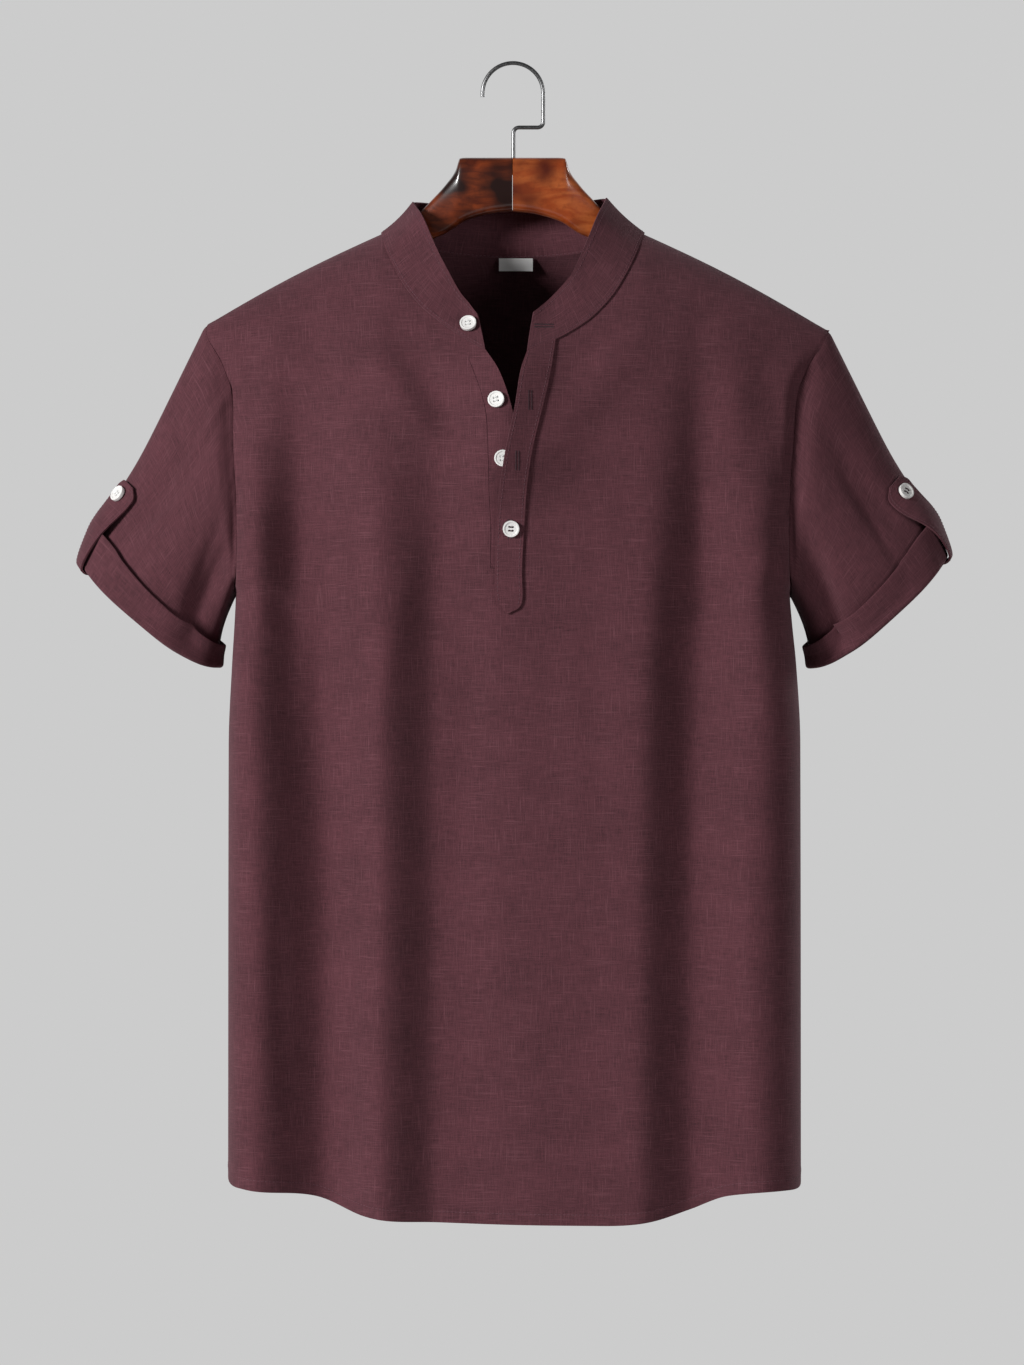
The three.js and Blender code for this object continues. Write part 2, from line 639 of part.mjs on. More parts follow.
function cuffPoint(cuff, angle) {
  const outer = new THREE.Vector3(cuff.outer[0], cuff.middleY, cuff.outer[1]);
  const inner = new THREE.Vector3(cuff.inner[0], cuff.middleY, cuff.inner[1]);
  const middle = outer.clone().add(inner).multiplyScalar(0.5);
  const along = outer.clone().sub(middle);
  const down = new THREE.Vector3(along.z * cuff.side, 0, -along.x * cuff.side).normalize();
  const power = 2 / CUFF_SQUARENESS;
  const across = Math.sign(Math.cos(angle)) * Math.abs(Math.cos(angle)) ** power;
  const forward = Math.sign(Math.sin(angle)) * Math.abs(Math.sin(angle)) ** power;
  const hang = Math.sin(angle) > 0 ? (1 - across ** 4) * (0.75 - 0.25 * across) : 0;
  const droop = CUFF_DROOP * hang;
  return middle.addScaledVector(along, across)
    .add(new THREE.Vector3(0, -cuff.depth * forward, 0))
    .addScaledVector(down, droop);
}

// A sleeve's outer surface: angle 0 is its outer edge, 90 degrees its front and 180
// its underside, and share runs from the armhole to the fold of the cuff
function makeSleeve(cuff) {
  const loop = armhole(cuff.side);
  const half = loop.length / 2;
  const lengths = [0];
  for (let i = 1; i <= loop.length; i += 1) {
    lengths.push(lengths[i - 1] + loop[i % loop.length].point.distanceTo(loop[i - 1].point));
  }
  const angles = loop.map((_, i) => {
    if (i <= half) return Math.PI * (lengths[i] / lengths[half]);
    return Math.PI * (1 + (lengths[i] - lengths[half]) / (lengths[loop.length] - lengths[half]));
  });
  angles.push(2 * Math.PI);

  const rimAt = (angle) => {
    const turn = ((angle % (2 * Math.PI)) + 2 * Math.PI) % (2 * Math.PI);
    let i = 1;
    while (i < angles.length - 1 && angles[i] < turn) i += 1;
    const share = (turn - angles[i - 1]) / (angles[i] - angles[i - 1]);
    return loop[i - 1].point.clone().lerp(loop[i % loop.length].point, share);
  };

  const at = (angle, share) => {
    const rim = rimAt(angle);
    const end = cuffPoint(cuff, angle);
    const point = rim.lerp(end, share);
    const middleX = mix(sideX(cuff.side, SLEEVE_MIDDLE_Z.side), (cuff.outer[0] + cuff.inner[0]) / 2, share);
    const middleZ = mix(SLEEVE_MIDDLE_Z.hollow, (cuff.outer[1] + cuff.inner[1]) / 2, share);
    const out = point.clone().sub(new THREE.Vector3(middleX, cuff.middleY, middleZ)).normalize();
    const flared = Math.exp(-(((share - SLEEVE_FLARE.at) / SLEEVE_FLARE.reach) ** 2));
    let height = SLEEVE_FLARE.rise * Math.max(0, Math.cos(angle)) ** 2 * flared;
    const degrees = (((angle * 180) / Math.PI) % 360 + 360) % 360;
    for (const fold of SLEEVE_FOLDS) {
      const along = (share - fold.from) / (fold.to - fold.from);
      const fade = along > 0 && along < 1 ? Math.sin(Math.PI * along) ** 0.8 : 0;
      height += fold.rise * fade * Math.exp(-(((degrees - fold.angle) / fold.width) ** 2));
    }
    const tuck = SLEEVE_TUCK * Math.max(0, -Math.cos(angle)) ** 4 * Math.sin(Math.PI * share);
    return point.addScaledVector(out, height).add(new THREE.Vector3(cuff.side * tuck, 0, 0));
  };

  const outward = (angle, share) => {
    const step = SAMPLE_STEP;
    const low = Math.max(0, share - step);
    const high = Math.min(1, share + step);
    const round = at(angle + step, share).sub(at(angle - step, share));
    const along = at(angle, high).sub(at(angle, low));
    return round.cross(along).multiplyScalar(cuff.side).normalize();
  };

  const length = (angle) => rimAt(angle).distanceTo(cuffPoint(cuff, angle));

  // A point above the fold by h along the cloth, standing off it by r
  const above = (angle, h, r) => {
    const share = 1 - h / length(angle);
    if (share <= 1) return at(angle, share).addScaledVector(outward(angle, share), r);
    const fold = at(angle, 1);
    const down = fold.clone().sub(at(angle, FOLD_SHARE.above)).normalize();
    return fold.addScaledVector(down, -h).addScaledVector(outward(angle, FOLD_SHARE.over), r);
  };

  return { cuff, loop, angles: angles.slice(0, -1), at, outward, above };
}

function sleeveWall(sleeve) {
  const order = sleeve.loop.map((_, i) => i);
  if (sleeve.cuff.side < 0) order.reverse();
  const grid = SLEEVE_STEPS.map((share) => order.map((i) => (
    share === 0 ? sleeve.loop[i].point.clone() : sleeve.at(sleeve.angles[i], share))));
  const mitre = (normals) => {
    order.forEach((i, c) => {
      const panel = sleeve.loop[i].normal;
      const agree = clamp(normals[0][c].dot(panel) / 0.5, 0, 1);
      normals[0][c].multiplyScalar(1 - agree).addScaledVector(panel, agree).normalize();
    });
  };
  return wall(grid, CLOTH, { ring: true, turn: mitre }).geometry;
}

// A solid whose sections and whose rings both close on themselves
function closedTube(grid) {
  const skin = new Skin();
  const rows = grid.length;
  const columns = grid[0].length;
  for (let r = 0; r < rows; r += 1) {
    for (let c = 0; c < columns; c += 1) {
      const s = (r + 1) % rows;
      const d = (c + 1) % columns;
      skin.quad(grid[r][c], grid[r][d], grid[s][d], grid[s][c]);
    }
  }
  return faceOut(skin.geometry());
}

function signedVolume(geometry) {
  const place = geometry.attributes.position;
  const index = geometry.index;
  const corner = (i) => new THREE.Vector3().fromBufferAttribute(place, index.getX(i));
  let total = 0;
  for (let i = 0; i < index.count; i += 3) {
    total += corner(i).dot(corner(i + 1).cross(corner(i + 2))) / 6;
  }
  return total;
}

function faceOut(geometry) {
  if (signedVolume(geometry) > 0) return geometry;
  const index = Array.from(geometry.index.array);
  for (let i = 0; i < index.length; i += 3) [index[i], index[i + 1]] = [index[i + 1], index[i]];
  geometry.setIndex(index);
  return geometry;
}

function cuffWall(sleeve) {
  const grid = CUFF_SECTION.map(({ r, h, part }) => sleeve.angles.map((angle) => {
    const rise = (1 + Math.cos(angle)) / 2;
    const height = mix(CUFF_HEIGHT.inner, CUFF_HEIGHT.outer, rise);
    return sleeve.above(angle, h ?? part * height, r);
  }));
  return closedTube(grid);
}

// The angle at which the cuff's fold has run a distance forward from its outer edge
function angleAfter(sleeve, distance) {
  const step = (SAMPLE_STEP / 2) * Math.sign(distance);
  let angle = 0;
  let run = 0;
  while (run < Math.abs(distance)) {
    run += sleeve.at(angle + step, FOLD_SHARE.tab).distanceTo(sleeve.at(angle, FOLD_SHARE.tab));
    angle += step;
  }
  return angle;
}

// A point on the tab's outer face: across runs from -1 at its outer edge to 1
function tabPoint(sleeve, tab, { r, h, width }, across) {
  const centre = mix(tab.atFold, tab.atButton, smooth(h / TAB_BUTTON_H));
  const aside = centre + (across * width * TAB_WIDTH) / 2;
  return sleeve.above(angleAfter(sleeve, aside || 1e-6), h, r);
}

function tabWall(sleeve, tab) {
  const grid = TAB_SECTION.map((row) => {
    const line = [];
    for (let c = 0; c <= TAB_COLUMNS; c += 1) {
      line.push(tabPoint(sleeve, tab, row, -1 + (2 * c) / TAB_COLUMNS));
    }
    if (sleeve.cuff.side > 0) line.reverse();
    return line;
  });
  return wall(grid, TAB_CLOTH).geometry;
}

function solidFrom(geometry) {
  const bare = geometry.clone();
  bare.deleteAttribute('normal');
  bare.deleteAttribute('uv');
  const merged = mergeVertices(bare, 1e-4);
  const mesh = new wasm.Mesh({
    numProp: 3,
    vertProperties: Float32Array.from(merged.attributes.position.array),
    triVerts: Uint32Array.from(merged.index.array),
  });
  return new wasm.Manifold(mesh);
}

function geometryFrom(solid) {
  const mesh = solid.getMesh();
  const made = new THREE.BufferGeometry();
  made.setAttribute('position', new THREE.BufferAttribute(mesh.vertProperties, 3));
  made.setIndex(Array.from(mesh.triVerts));
  return made;
}

// A four-hole button whose back lies on the plane z = 0
function makeButton() {
  const { radius, thick, rim, hole, spread, sides, backChamfer, edge, dish } = BUTTON;
  const profile = [
    [0, 0],
    [radius - backChamfer[0], 0],
    [radius, backChamfer[1]],
    [radius, thick - edge],
    [radius - edge, thick],
    [radius - rim, thick],
    [radius - rim - dish, thick - dish],
    [0, thick - dish],
  ].map(([x, y]) => new THREE.Vector2(x, y));
  const disc = new THREE.LatheGeometry(profile, sides);
  disc.rotateX(Math.PI / 2);
  let solid = solidFrom(faceOut(mergeVertices(stripped(disc), 1e-4)));
  for (const [x, y] of [[1, 1], [1, -1], [-1, 1], [-1, -1]]) {
    const drill = new THREE.CylinderGeometry(hole, hole, thick * 3, 8);
    drill.rotateX(Math.PI / 2);
    drill.translate(x * spread, y * spread, 0);
    solid = solid.subtract(solidFrom(drill));
  }
  return geometryFrom(solid);
}

function stripped(geometry) {
  geometry.deleteAttribute('normal');
  geometry.deleteAttribute('uv');
  return geometry;
}

const button = makeButton();

// Sets a button on a surface: foot is a point of the cloth and normal points off it
function addButton(name, foot, normal) {
  const turn = new THREE.Quaternion().setFromUnitVectors(new THREE.Vector3(0, 0, 1), normal);
  const placed = button.clone().applyQuaternion(turn);
  const seat = foot.clone().addScaledVector(normal, BUTTON_SEAT);
  placed.translate(seat.x, seat.y, seat.z);
  addPart(name, placed, WHITE_SHELL);
}

for (const cuff of CUFFS) {
  const name = cuff.side < 0 ? 'left' : 'right';
  const sleeve = makeSleeve(cuff);
  const tab = TABS.find((row) => row.side === cuff.side);
  addPart(`sleeve_${name}`, sleeveWall(sleeve), PLUM);
  addPart(`cuff_${name}`, cuffWall(sleeve), PLUM);
  addPart(`tab_${name}`, tabWall(sleeve, tab), PLUM);
  const seat = { r: 3.8, h: TAB_BUTTON_H, width: 1 };
  const centre = tabPoint(sleeve, tab, seat, 0);
  const beside = tabPoint(sleeve, tab, seat, 0.4).sub(tabPoint(sleeve, tab, seat, -0.4));
  const higher = tabPoint(sleeve, tab, { ...seat, h: TAB_BUTTON_H + 4 }, 0)
    .sub(tabPoint(sleeve, tab, { ...seat, h: TAB_BUTTON_H - 4 }, 0));
  const normal = beside.cross(higher).multiplyScalar(-cuff.side).normalize();
  addButton(`tab_button_${name}`, centre, normal);
}

// The collar band: rows rise from the neck seam to the top edge
function collarWall() {
  const seamPoints = COLLAR.map(({ x, z, behind }) => (behind ? backPoint(x, z) : frontPoint(x, z)));
  const topPoints = COLLAR.map(({ topX, topZ, back: lean, behind }, i) => {
    const y = seamPoints[i].y + (behind ? -lean : lean);
    return new THREE.Vector3(topX, y, topZ);
  });
  const grid = [];
  for (let r = 0; r <= BAND_ROWS; r += 1) {
    grid.push(seamPoints.map((seam, i) => {
      const rise = topPoints[i].clone().sub(seam);
      const start = BAND_GAP / rise.length();
      return seam.clone().addScaledVector(rise, mix(start, 1, r / BAND_ROWS));
    }));
  }
  const bowed = gridNormals(grid, false, () => true);
  grid.forEach((row, r) => row.forEach((point, c) => {
    point.addScaledVector(bowed[r][c], BAND_CROWN * Math.sin((Math.PI * r) / BAND_ROWS));
  }));
  return { grid, ...wall(grid, BAND_CLOTH) };
}

// A strip on the front panel, moved out by its stand-off
function placketGrid(table, inset, standOff) {
  return table.map(({ left, right, lift = 0 }) => {
    const line = [];
    for (let c = 0; c <= PLACKET_COLUMNS; c += 1) {
      const share = c / PLACKET_COLUMNS;
      const x = mix(left[0] + inset, right[0], share);
      const point = frontPoint(x, mix(left[1], right[1], share));
      point.y -= standOff + lift * (1 - share) ** 1.5;
      line.push(point);
    }
    return line;
  });
}

// Where a grid of points is met by a line of sight at a place seen from the front
function pointOn(grid, x, z) {
  let best = null;
  let nearest = Infinity;
  const normals = gridNormals(grid, false, () => true);
  const steps = [0, 0.125, 0.25, 0.375, 0.5, 0.625, 0.75, 0.875, 1];
  for (let r = 0; r < grid.length - 1; r += 1) {
    for (let c = 0; c < grid[0].length - 1; c += 1) {
      for (const u of steps) {
        for (const v of steps) {
          const low = grid[r][c].clone().lerp(grid[r][c + 1], u);
          const high = grid[r + 1][c].clone().lerp(grid[r + 1][c + 1], u);
          const point = low.lerp(high, v);
          const away = Math.hypot(point.x - x, point.z - z);
          if (away < nearest) {
            nearest = away;
            const lowN = normals[r][c].clone().lerp(normals[r][c + 1], u);
            const highN = normals[r + 1][c].clone().lerp(normals[r + 1][c + 1], u);
            best = { point, normal: lowN.lerp(highN, v).normalize() };
          }
        }
      }
    }
  }
  return best;
}

const collar = collarWall();
const underGrid = placketGrid(UNDER_PLACKET, SEAM, 0);
const overGrid = placketGrid(OVER_PLACKET, 0, CLOTH + PLACKET_LAP);
addPart('collar_band', collar.geometry, PLUM);
addPart('placket_under', wall(underGrid, CLOTH).geometry, PLUM);
addPart('placket_over', wall(overGrid, CLOTH).geometry, PLUM);

// The band's grid is its inner face, and its button sits on the outer one
const SEWN_TO = { band: collar.grid, under: underGrid, over: overGrid };
BODY_BUTTONS.forEach(({ x, z, on }, i) => {
  const { point, normal } = pointOn(SEWN_TO[on], x, z);
  if (on === 'band') point.addScaledVector(normal.negate(), BAND_CLOTH);
  addButton(`placket_button_${i + 1}`, point, normal);
});

// The label hangs from the neck seam, on the inner face of the back
function labelWall() {
  const grid = [LABEL.bottom, LABEL.top].map((z) => {
    const line = [];
    for (let c = 0; c <= LABEL.steps; c += 1) {
      const point = backPoint(mix(LABEL.left, LABEL.right, c / LABEL.steps), LABEL.seam);
      point.y -= CLOTH + 2 * SEAM;
      point.z = z;
      line.push(point);
    }
    return line.reverse();
  });
  return wall(grid, LABEL_CLOTH).geometry;
}
addPart('size_label', labelWall(), LABEL_WHITE);

// One wooden arm, through sections across it, with half of the bore for the hook
function armSolid(side) {
  const grid = ARM.map(({ x, top, bottom, thick }) => {
    const line = [];
    for (let i = 0; i < ARM_SIDES; i += 1) {
      const angle = (2 * Math.PI * (i + 0.5)) / ARM_SIDES;
      const power = 2 / ARM_SQUARENESS;
      const up = Math.sign(Math.sin(angle)) * Math.abs(Math.sin(angle)) ** power;
      const over = Math.sign(Math.cos(angle)) * Math.abs(Math.cos(angle)) ** power;
      const y = sweep(x) + (over * thick) / 2;
      line.push(new THREE.Vector3(side * x, y, mix(bottom, top, (1 + up) / 2)));
    }
    return line;
  });
  const skin = new Skin();
  for (let r = 0; r < grid.length - 1; r += 1) {
    for (let i = 0; i < ARM_SIDES; i += 1) {
      const j = (i + 1) % ARM_SIDES;
      skin.quad(grid[r][i], grid[r][j], grid[r + 1][j], grid[r + 1][i]);
    }
  }
  for (let i = 1; i < ARM_SIDES - 1; i += 1) {
    const last = grid[grid.length - 1];
    skin.triangle(grid[0][0], grid[0][i + 1], grid[0][i]);
    skin.triangle(last[0], last[i], last[i + 1]);
  }
  const bore = new THREE.CylinderGeometry(BORE.radius, BORE.radius, 2 * BORE.depth, BORE.sides);
  bore.rotateX(Math.PI / 2);
  bore.translate(HOOK.stemX, 0, ARM[0].top);
  return geometryFrom(solidFrom(faceOut(skin.geometry())).subtract(solidFrom(bore)));
}
addPart('hanger_half_left', armSolid(-1), LACQUER);
addPart('hanger_half_right', armSolid(1), LACQUER);

// The hook: up out of the wood, a jog to the right, a riser, and a half-round bow
function hookPath() {
  const { stemX, stemFoot, jogZ, riserX, bowZ, bow, turn, corner } = HOOK;
  const places = [0, 0.25, 0.5, 0.9].map((share) => [stemX, mix(stemFoot, jogZ - corner, share)]);
  const quarter = (centreX, centreZ, from, to) => {
    for (let i = 0; i <= 4; i += 1) {
      const angle = mix(from, to, i / 4);
      places.push([centreX + corner * Math.cos(angle), centreZ + corner * Math.sin(angle)]);
    }
  };
  quarter(stemX + corner, jogZ - corner, Math.PI, Math.PI / 2);
  places.push([(stemX + riserX) / 2, jogZ]);
  quarter(riserX - corner, jogZ + corner, -Math.PI / 2, 0);
  const bowSteps = 14;
  for (let i = 0; i <= bowSteps; i += 1) {
    const angle = turn * (i / bowSteps);
    places.push([riserX - bow + bow * Math.cos(angle), bowZ + bow * Math.sin(angle)]);
  }
  return new THREE.CatmullRomCurve3(places.map(([x, z]) => new THREE.Vector3(x, 0, z)), false, 'centripetal');
}

const wireSection = new THREE.Shape(Array.from({ length: WIRE_SIDES }, (_, i) => {
  const angle = (2 * Math.PI * i) / WIRE_SIDES;
  return new THREE.Vector2(Math.cos(angle), Math.sin(angle)).multiplyScalar(WIRE / 2);
}));
const hook = new THREE.ExtrudeGeometry(wireSection, { steps: WIRE_STEPS, extrudePath: hookPath() });
addPart('hanger_hook', faceOut(mergeVertices(stripped(hook), 1e-4)), STEEL);

export default group;
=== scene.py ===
import math

import bmesh
import bpy
import numpy as np
from mathutils import Matrix, Vector


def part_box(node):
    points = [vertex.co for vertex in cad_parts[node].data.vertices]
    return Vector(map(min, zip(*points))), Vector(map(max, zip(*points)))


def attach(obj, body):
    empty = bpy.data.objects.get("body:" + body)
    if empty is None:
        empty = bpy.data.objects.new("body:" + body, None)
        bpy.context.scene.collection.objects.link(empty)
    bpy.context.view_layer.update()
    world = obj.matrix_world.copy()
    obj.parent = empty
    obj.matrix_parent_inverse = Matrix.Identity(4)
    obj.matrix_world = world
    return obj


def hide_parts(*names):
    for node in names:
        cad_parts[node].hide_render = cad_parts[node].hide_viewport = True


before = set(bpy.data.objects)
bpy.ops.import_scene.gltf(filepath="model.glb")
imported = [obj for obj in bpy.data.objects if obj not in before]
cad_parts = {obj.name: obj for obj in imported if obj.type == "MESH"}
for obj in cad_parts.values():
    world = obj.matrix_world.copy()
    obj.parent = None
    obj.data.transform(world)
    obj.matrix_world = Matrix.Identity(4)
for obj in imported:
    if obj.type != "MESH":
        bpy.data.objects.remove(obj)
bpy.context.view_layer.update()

bpy.ops.object.select_all(action="DESELECT")

# A mandarin collar shirt on a wooden hanger. Tables and sizes are in millimetres, and
# the meshes are in metres. +X is the right of the picture and -Y faces the viewer.
MM = 0.001
# The photo's scale, in millimetres a pixel, and its height in pixels
PIXEL = 0.73
PHOTO_HEIGHT = 1365


def table(columns, *rows):
    """A short table: the names of its columns, then its rows."""
    return [dict(zip(columns.split(), row)) for row in rows]


# Cloth and seams
CLOTH = 0.9
OVER_CLOTH = 1.1
BAND_CLOTH = 1.7
TAB_CLOTH = 1.5
# The flat map of the cloth: how deep the shoulders' round counts, in how many steps, and
# where each kind of piece starts on it, so that it doesn't repeat the front's slubs
MAP_DEPTH, MAP_STEPS = 60, 400
MAP_START = {"placket": 60, "back": 400, "sleeve": 900, "cuff": 1500, "tab": 2000, "band": 2600}
SEAM = 0.3
# Where a seam draws the cloth in: the depth and reach of its groove, and beside it the
# puckers' rise, wave, swing, the length of the swing, and reach
SIDE_SEAM = {"depth": 0.8, "reach": 1.6, "rise": 0.35, "wave": 2.9, "swing": 1.7, "drift": 13, "fade": 7}
SLEEVE_SEAM = {"depth": 0.8, "reach": 1.8, "rise": 0.5, "wave": 1.7, "swing": 2, "drift": 9, "fade": 9}
SEAM_EASE = 2
# Edges that turn more than this stay sharp, in degrees
SHARP = {"cloth": 50, "wood": 40, "button": 35, "wire": 50}

# The body of the shirt
CHEST_FRONT = 85
CHEST_BACK = 80
SHOULDER_ROUND = 190
SHOULDER_EASE = 0.6
FORWARD_SWEEP = 14
SWEEP_START = 60
SWEEP_RUN = 180
SWEEP_FADE = 110
FIRM_DEPTH = 30
UNDERARM_Z = -390
HANGING_Z = -600
NECK_POINT = (95, -124)
SHOULDER_TIP = (229, -195)
SHOULDER_BOW = 3
NECK_RISE = 6

TRUNK = table(
    "z half section middle square",
    (-860, 209.8, 209.8, 1.5, 5.5),
    (-500, 209.3, 209.3, 1.5, 5.5),
    (-440, 206.5, 206.5, 1.2, 5.2),
    (-410, 204.2, 204.2, 0.6, 4.8),
    (-390, 203.2, 203.2, 0.3, 4.4),
    (-375, 202.6, 211, 0.3, 4),
    (-350, 202, 222, 0.3, 3.6),
    (-320, 202.4, 230, 0.3, 3.3),
    (-280, 205, 235, 0.6, 3),
    (-245, 207, 241, 1.8, 2.8),
    (-221, 215.5, 251, 2.6, 2.7),
    (-195, 229, 252, 3.5, 2.6),
    (-100, 229, 252, 0, 2.6),
)
HEM = table(
    "x z",
    (-212, -811),
    (-204, -819),
    (-190, -823),
    (-140, -829),
    (-106, -842),
    (-70, -846.5),
    (63, -849),
    (98, -846),
    (125, -838),
    (150, -828),
    (212, -823),
)
# It climbs on to the side seam, round the flat side of the body
HEM_SIDE = {"rise": 9, "reach": 0.75, "square": 5.5}

# The front's folds that hang to the hem, as its section at full depth: how far the cloth
# stands forward at each place across, and the height at which that place begins to fold
FOLD_RUN = 230
FRONT_FOLDS = table(
    "x rise start",
    (-216, 2, -330),
    (-192, 10, -260),
    (-136, -28, -150),
    (-94, 7, -190),
    (-54, -12, -190),
    (0, -4, -330),
    (58, 0, -300),
    (90, 4, -230),
    (131, -17, -150),
    (186, 8, -230),
    (208, 5, -300),
)
LEAN_FOOT = -620
LEAN_RUN = 320
FOLD_LEAN = table(
    "x reach shift",
    (-158, 46, 15),
    (122, 40, -7),
)
# The back's folds: a ridge stands out where rise is positive
BACK_FOLDS = table(
    "x width rise start",
    (-170, 24, 6, -400),
    (-118, 26, -8, -300),
    (-66, 28, 7, -260),
    (-14, 30, -6, -340),
    (44, 32, 7, -300),
    (104, 27, -8, -380),
    (162, 26, 7, -330),
)

# Creases from one end to the other; bow is how far the middle stands to one side
FRONT_CREASES = table(
    "from to bow width rise",
    ((-122, -184), (-18, -330), 0, 17, 5),
    ((-92, -186), (-34, -292), 0, 14, -4),
    ((96, -196), (16, -300), 0, 16, 4),
    ((-196, -196), (-176, -330), 0, 16, -4),
    ((190, -190), (172, -330), 0, 16, -4),
    ((-160, -186), (-138, -300), 0, 15, 3),
    ((-196, -230), (-186, -470), 6, 7, -2.4),
    ((192, -230), (184, -450), -6, 7, -2.6),
    ((-150, -240), (-158, -520), -8, 9, 1.6),
    ((-60, -330), (-102, -520), 6, 10, 1.4),
    ((-30, -420), (-60, -700), -5, 11, -1.3),
    ((40, -390), (64, -640), 5, 13, 1.2),
    ((118, -360), (128, -620), 4, 9, -1.8),
    ((160, -480), (172, -800), -4, 8, 1.6),
    ((-168, -560), (-160, -815), 5, 8, -1.7),
    ((-112, -610), (-104, -835), -4, 9, 1.5),
    ((70, -700), (84, -840), 3, 9, -1.2),
    ((-150, -330), (-78, -392), 5, 8, -1.0),
    ((196, -330), (120, -418), -6, 9, -1.5),
    ((-198, -356), (-140, -430), 6, 8, -1.4),
)
BACK_CREASES = table(
    "from to bow width rise",
    ((-190, -200), (-90, -330), 0, 22, 3),
    ((190, -200), (96, -320), 0, 22, 3),
    ((-196, -240), (-182, -480), 5, 8, -2.4),
    ((196, -230), (186, -470), -5, 8, -2.2),
    ((-40, -180), (-52, -420), 7, 12, 1.6),
    ((30, -200), (12, -520), -6, 12, -1.6),
    ((-132, -420), (-140, -760), 6, 10, 1.8),
    ((78, -480), (84, -830), -5, 9, -1.6),
    ((140, -300), (120, -560), 6, 10, 1.5),
    ((-190, -380), (-120, -450), -6, 9, -1.6),
    ((192, -370), (128, -446), 6, 9, -1.5),
)
# Soft unrest all over: how far it stands out, the length of its waves and where they start
RIPPLES = {
    "front": {"rise": 0.7, "length": 34, "start": 0.6},
    "back": {"rise": 0.8, "length": 37, "start": 1.9},
}
# The trough beside each armhole: its depth in front and behind, its reach either way, and
# the heights over which it sets in and runs out
TROUGH = {"front": 7, "back": -4, "body": 6, "sleeve": 16}
TROUGH_TOP, TROUGH_SET_IN = -203, 35
TROUGH_FOOT, TROUGH_RUN_OUT = -388, 40
BEAK = {"rise": 13, "width": 34, "top": -170, "foot": -352, "ease": 60}

# Rows of the panels above the underarm: height on the armhole's edge, and where each
# ends on the slit and the front neck to the left, to the right, and on the back
UPPER_ROWS = table(
    "arm left right back",
    (-390, (-16, -390), (3, -390), (0, -390)),
    (-383, (-16, -372), (3, -372), (0, -362)),
    (-373, (-16, -343), (4.2, -343), (0, -334)),
    (-357, (-17.2, -314), (7.6, -314), (0, -306)),
    (-338, (-18, -285), (12.2, -285), (0, -278)),
    (-318, (-20, -256), (19.4, -256), (0, -250)),
    (-298, (-29, -227), (25.2, -229), (0, -222)),
    (-278, (-41, -199.5), (29.5, -205.2), (0, -194)),
    (-259, (-54, -190), (42, -198.5), (0, -166)),
    (-242, (-67, -178.5), (58, -187), (0, -140)),
    (-228, (-78, -164), (73, -170), (28, -139)),
    (-215, (-86, -149), (84, -151), (54, -136)),
    (-205, (-91.5, -136), (91, -135), (76, -131)),
    (-198, (-94.3, -127), (94.4, -127), (90, -126.4)),
    (-195, (-94.7, -124), (95.3, -124), (95, -124)),
)
TOP_ROW = len(UPPER_ROWS) - 1
SLIT_FOOT_ROW = 1
BACK_NECK_ROW = 9
# The grids: the column that spaces the rows evenly, how many points a line is measured
# with, how much steeper than its neighbours a curve may run between two rows of a table,
# how near two corners join, and how many columns and rows there are
SPACING_COLUMN = 0.45
FINE = 1500
STEEPEST = 2.5
WELD = 0.02
SIDE_COLUMNS = 84
BRIDGE_COLUMNS = 8
UPPER_COUNT = 92
LOWER_COUNT = 128
COLUMN_SPREAD = 0.3
HEM_TURN = 8
HEM_CLOSE = 12
HEM_CLOSE_ROWS = 10
HEM_ROWS = 30
HEM_SWELL = 0.55
HEM_DENT = {"depth": 0.45, "reach": 1.1}
HEM_PUCKER = {"rise": 0.45, "wave": 3.1, "drift": 17, "beat": 9.3, "fade": 5}

# The collar band: a point on the neck seam, the point above it on the top edge as seen
# from the front, and how far the top edge stands back from the seam
COLLAR = table(
    "seam top back behind",
    ((-20, -212), (-25, -186.5), 15, False),
    ((-31, -205.8), (-31, -179), 15, False),
    ((-41, -199.5), (-37, -172), 14, False),
    ((-54, -190), (-42.5, -163), 12, False),
    ((-67, -178.5), (-48, -152), 9, False),
    ((-78, -164), (-54, -140), 6, False),
    ((-86, -149), (-60, -126), 2, False),
    ((-91.5, -136), (-66, -112), -1, False),
    ((-94.7, -124), (-72, -102.5), 1, False),
    ((-90, -126.4), (-70, -101.5), 4, True),
    ((-76, -131), (-60, -101.5), 5, True),
    ((-54, -136), (-44, -103), 3, True),
    ((-28, -139), (-23, -104.5), 1, True),
    ((0, -140), (0, -105), 0, True),
    ((28, -139), (22, -104), 1, True),
    ((54, -136), (42, -102), 3, True),
    ((76, -131), (57, -99.5), 5, True),
    ((90, -126.4), (66, -99), 4, True),
    ((95.3, -124), (68, -99.5), 1, False),
    ((91, -135), (62.5, -111), -1, False),
    ((84, -151), (56.5, -126), 2, False),
    ((73, -170), (49, -144), 6, False),
    ((58, -187), (42, -158), 9, False),
    ((42, -198.5), (33, -169), 12, False),
    ((29.5, -205.2), (25.5, -176.5), 14, False),
    ((10.6, -213), (15, -185), 15, False),
)
BAND_CROWN = 1.2
BAND_LAP = 1.4
BAND_COLUMNS = 260
BAND_ROWS = 26

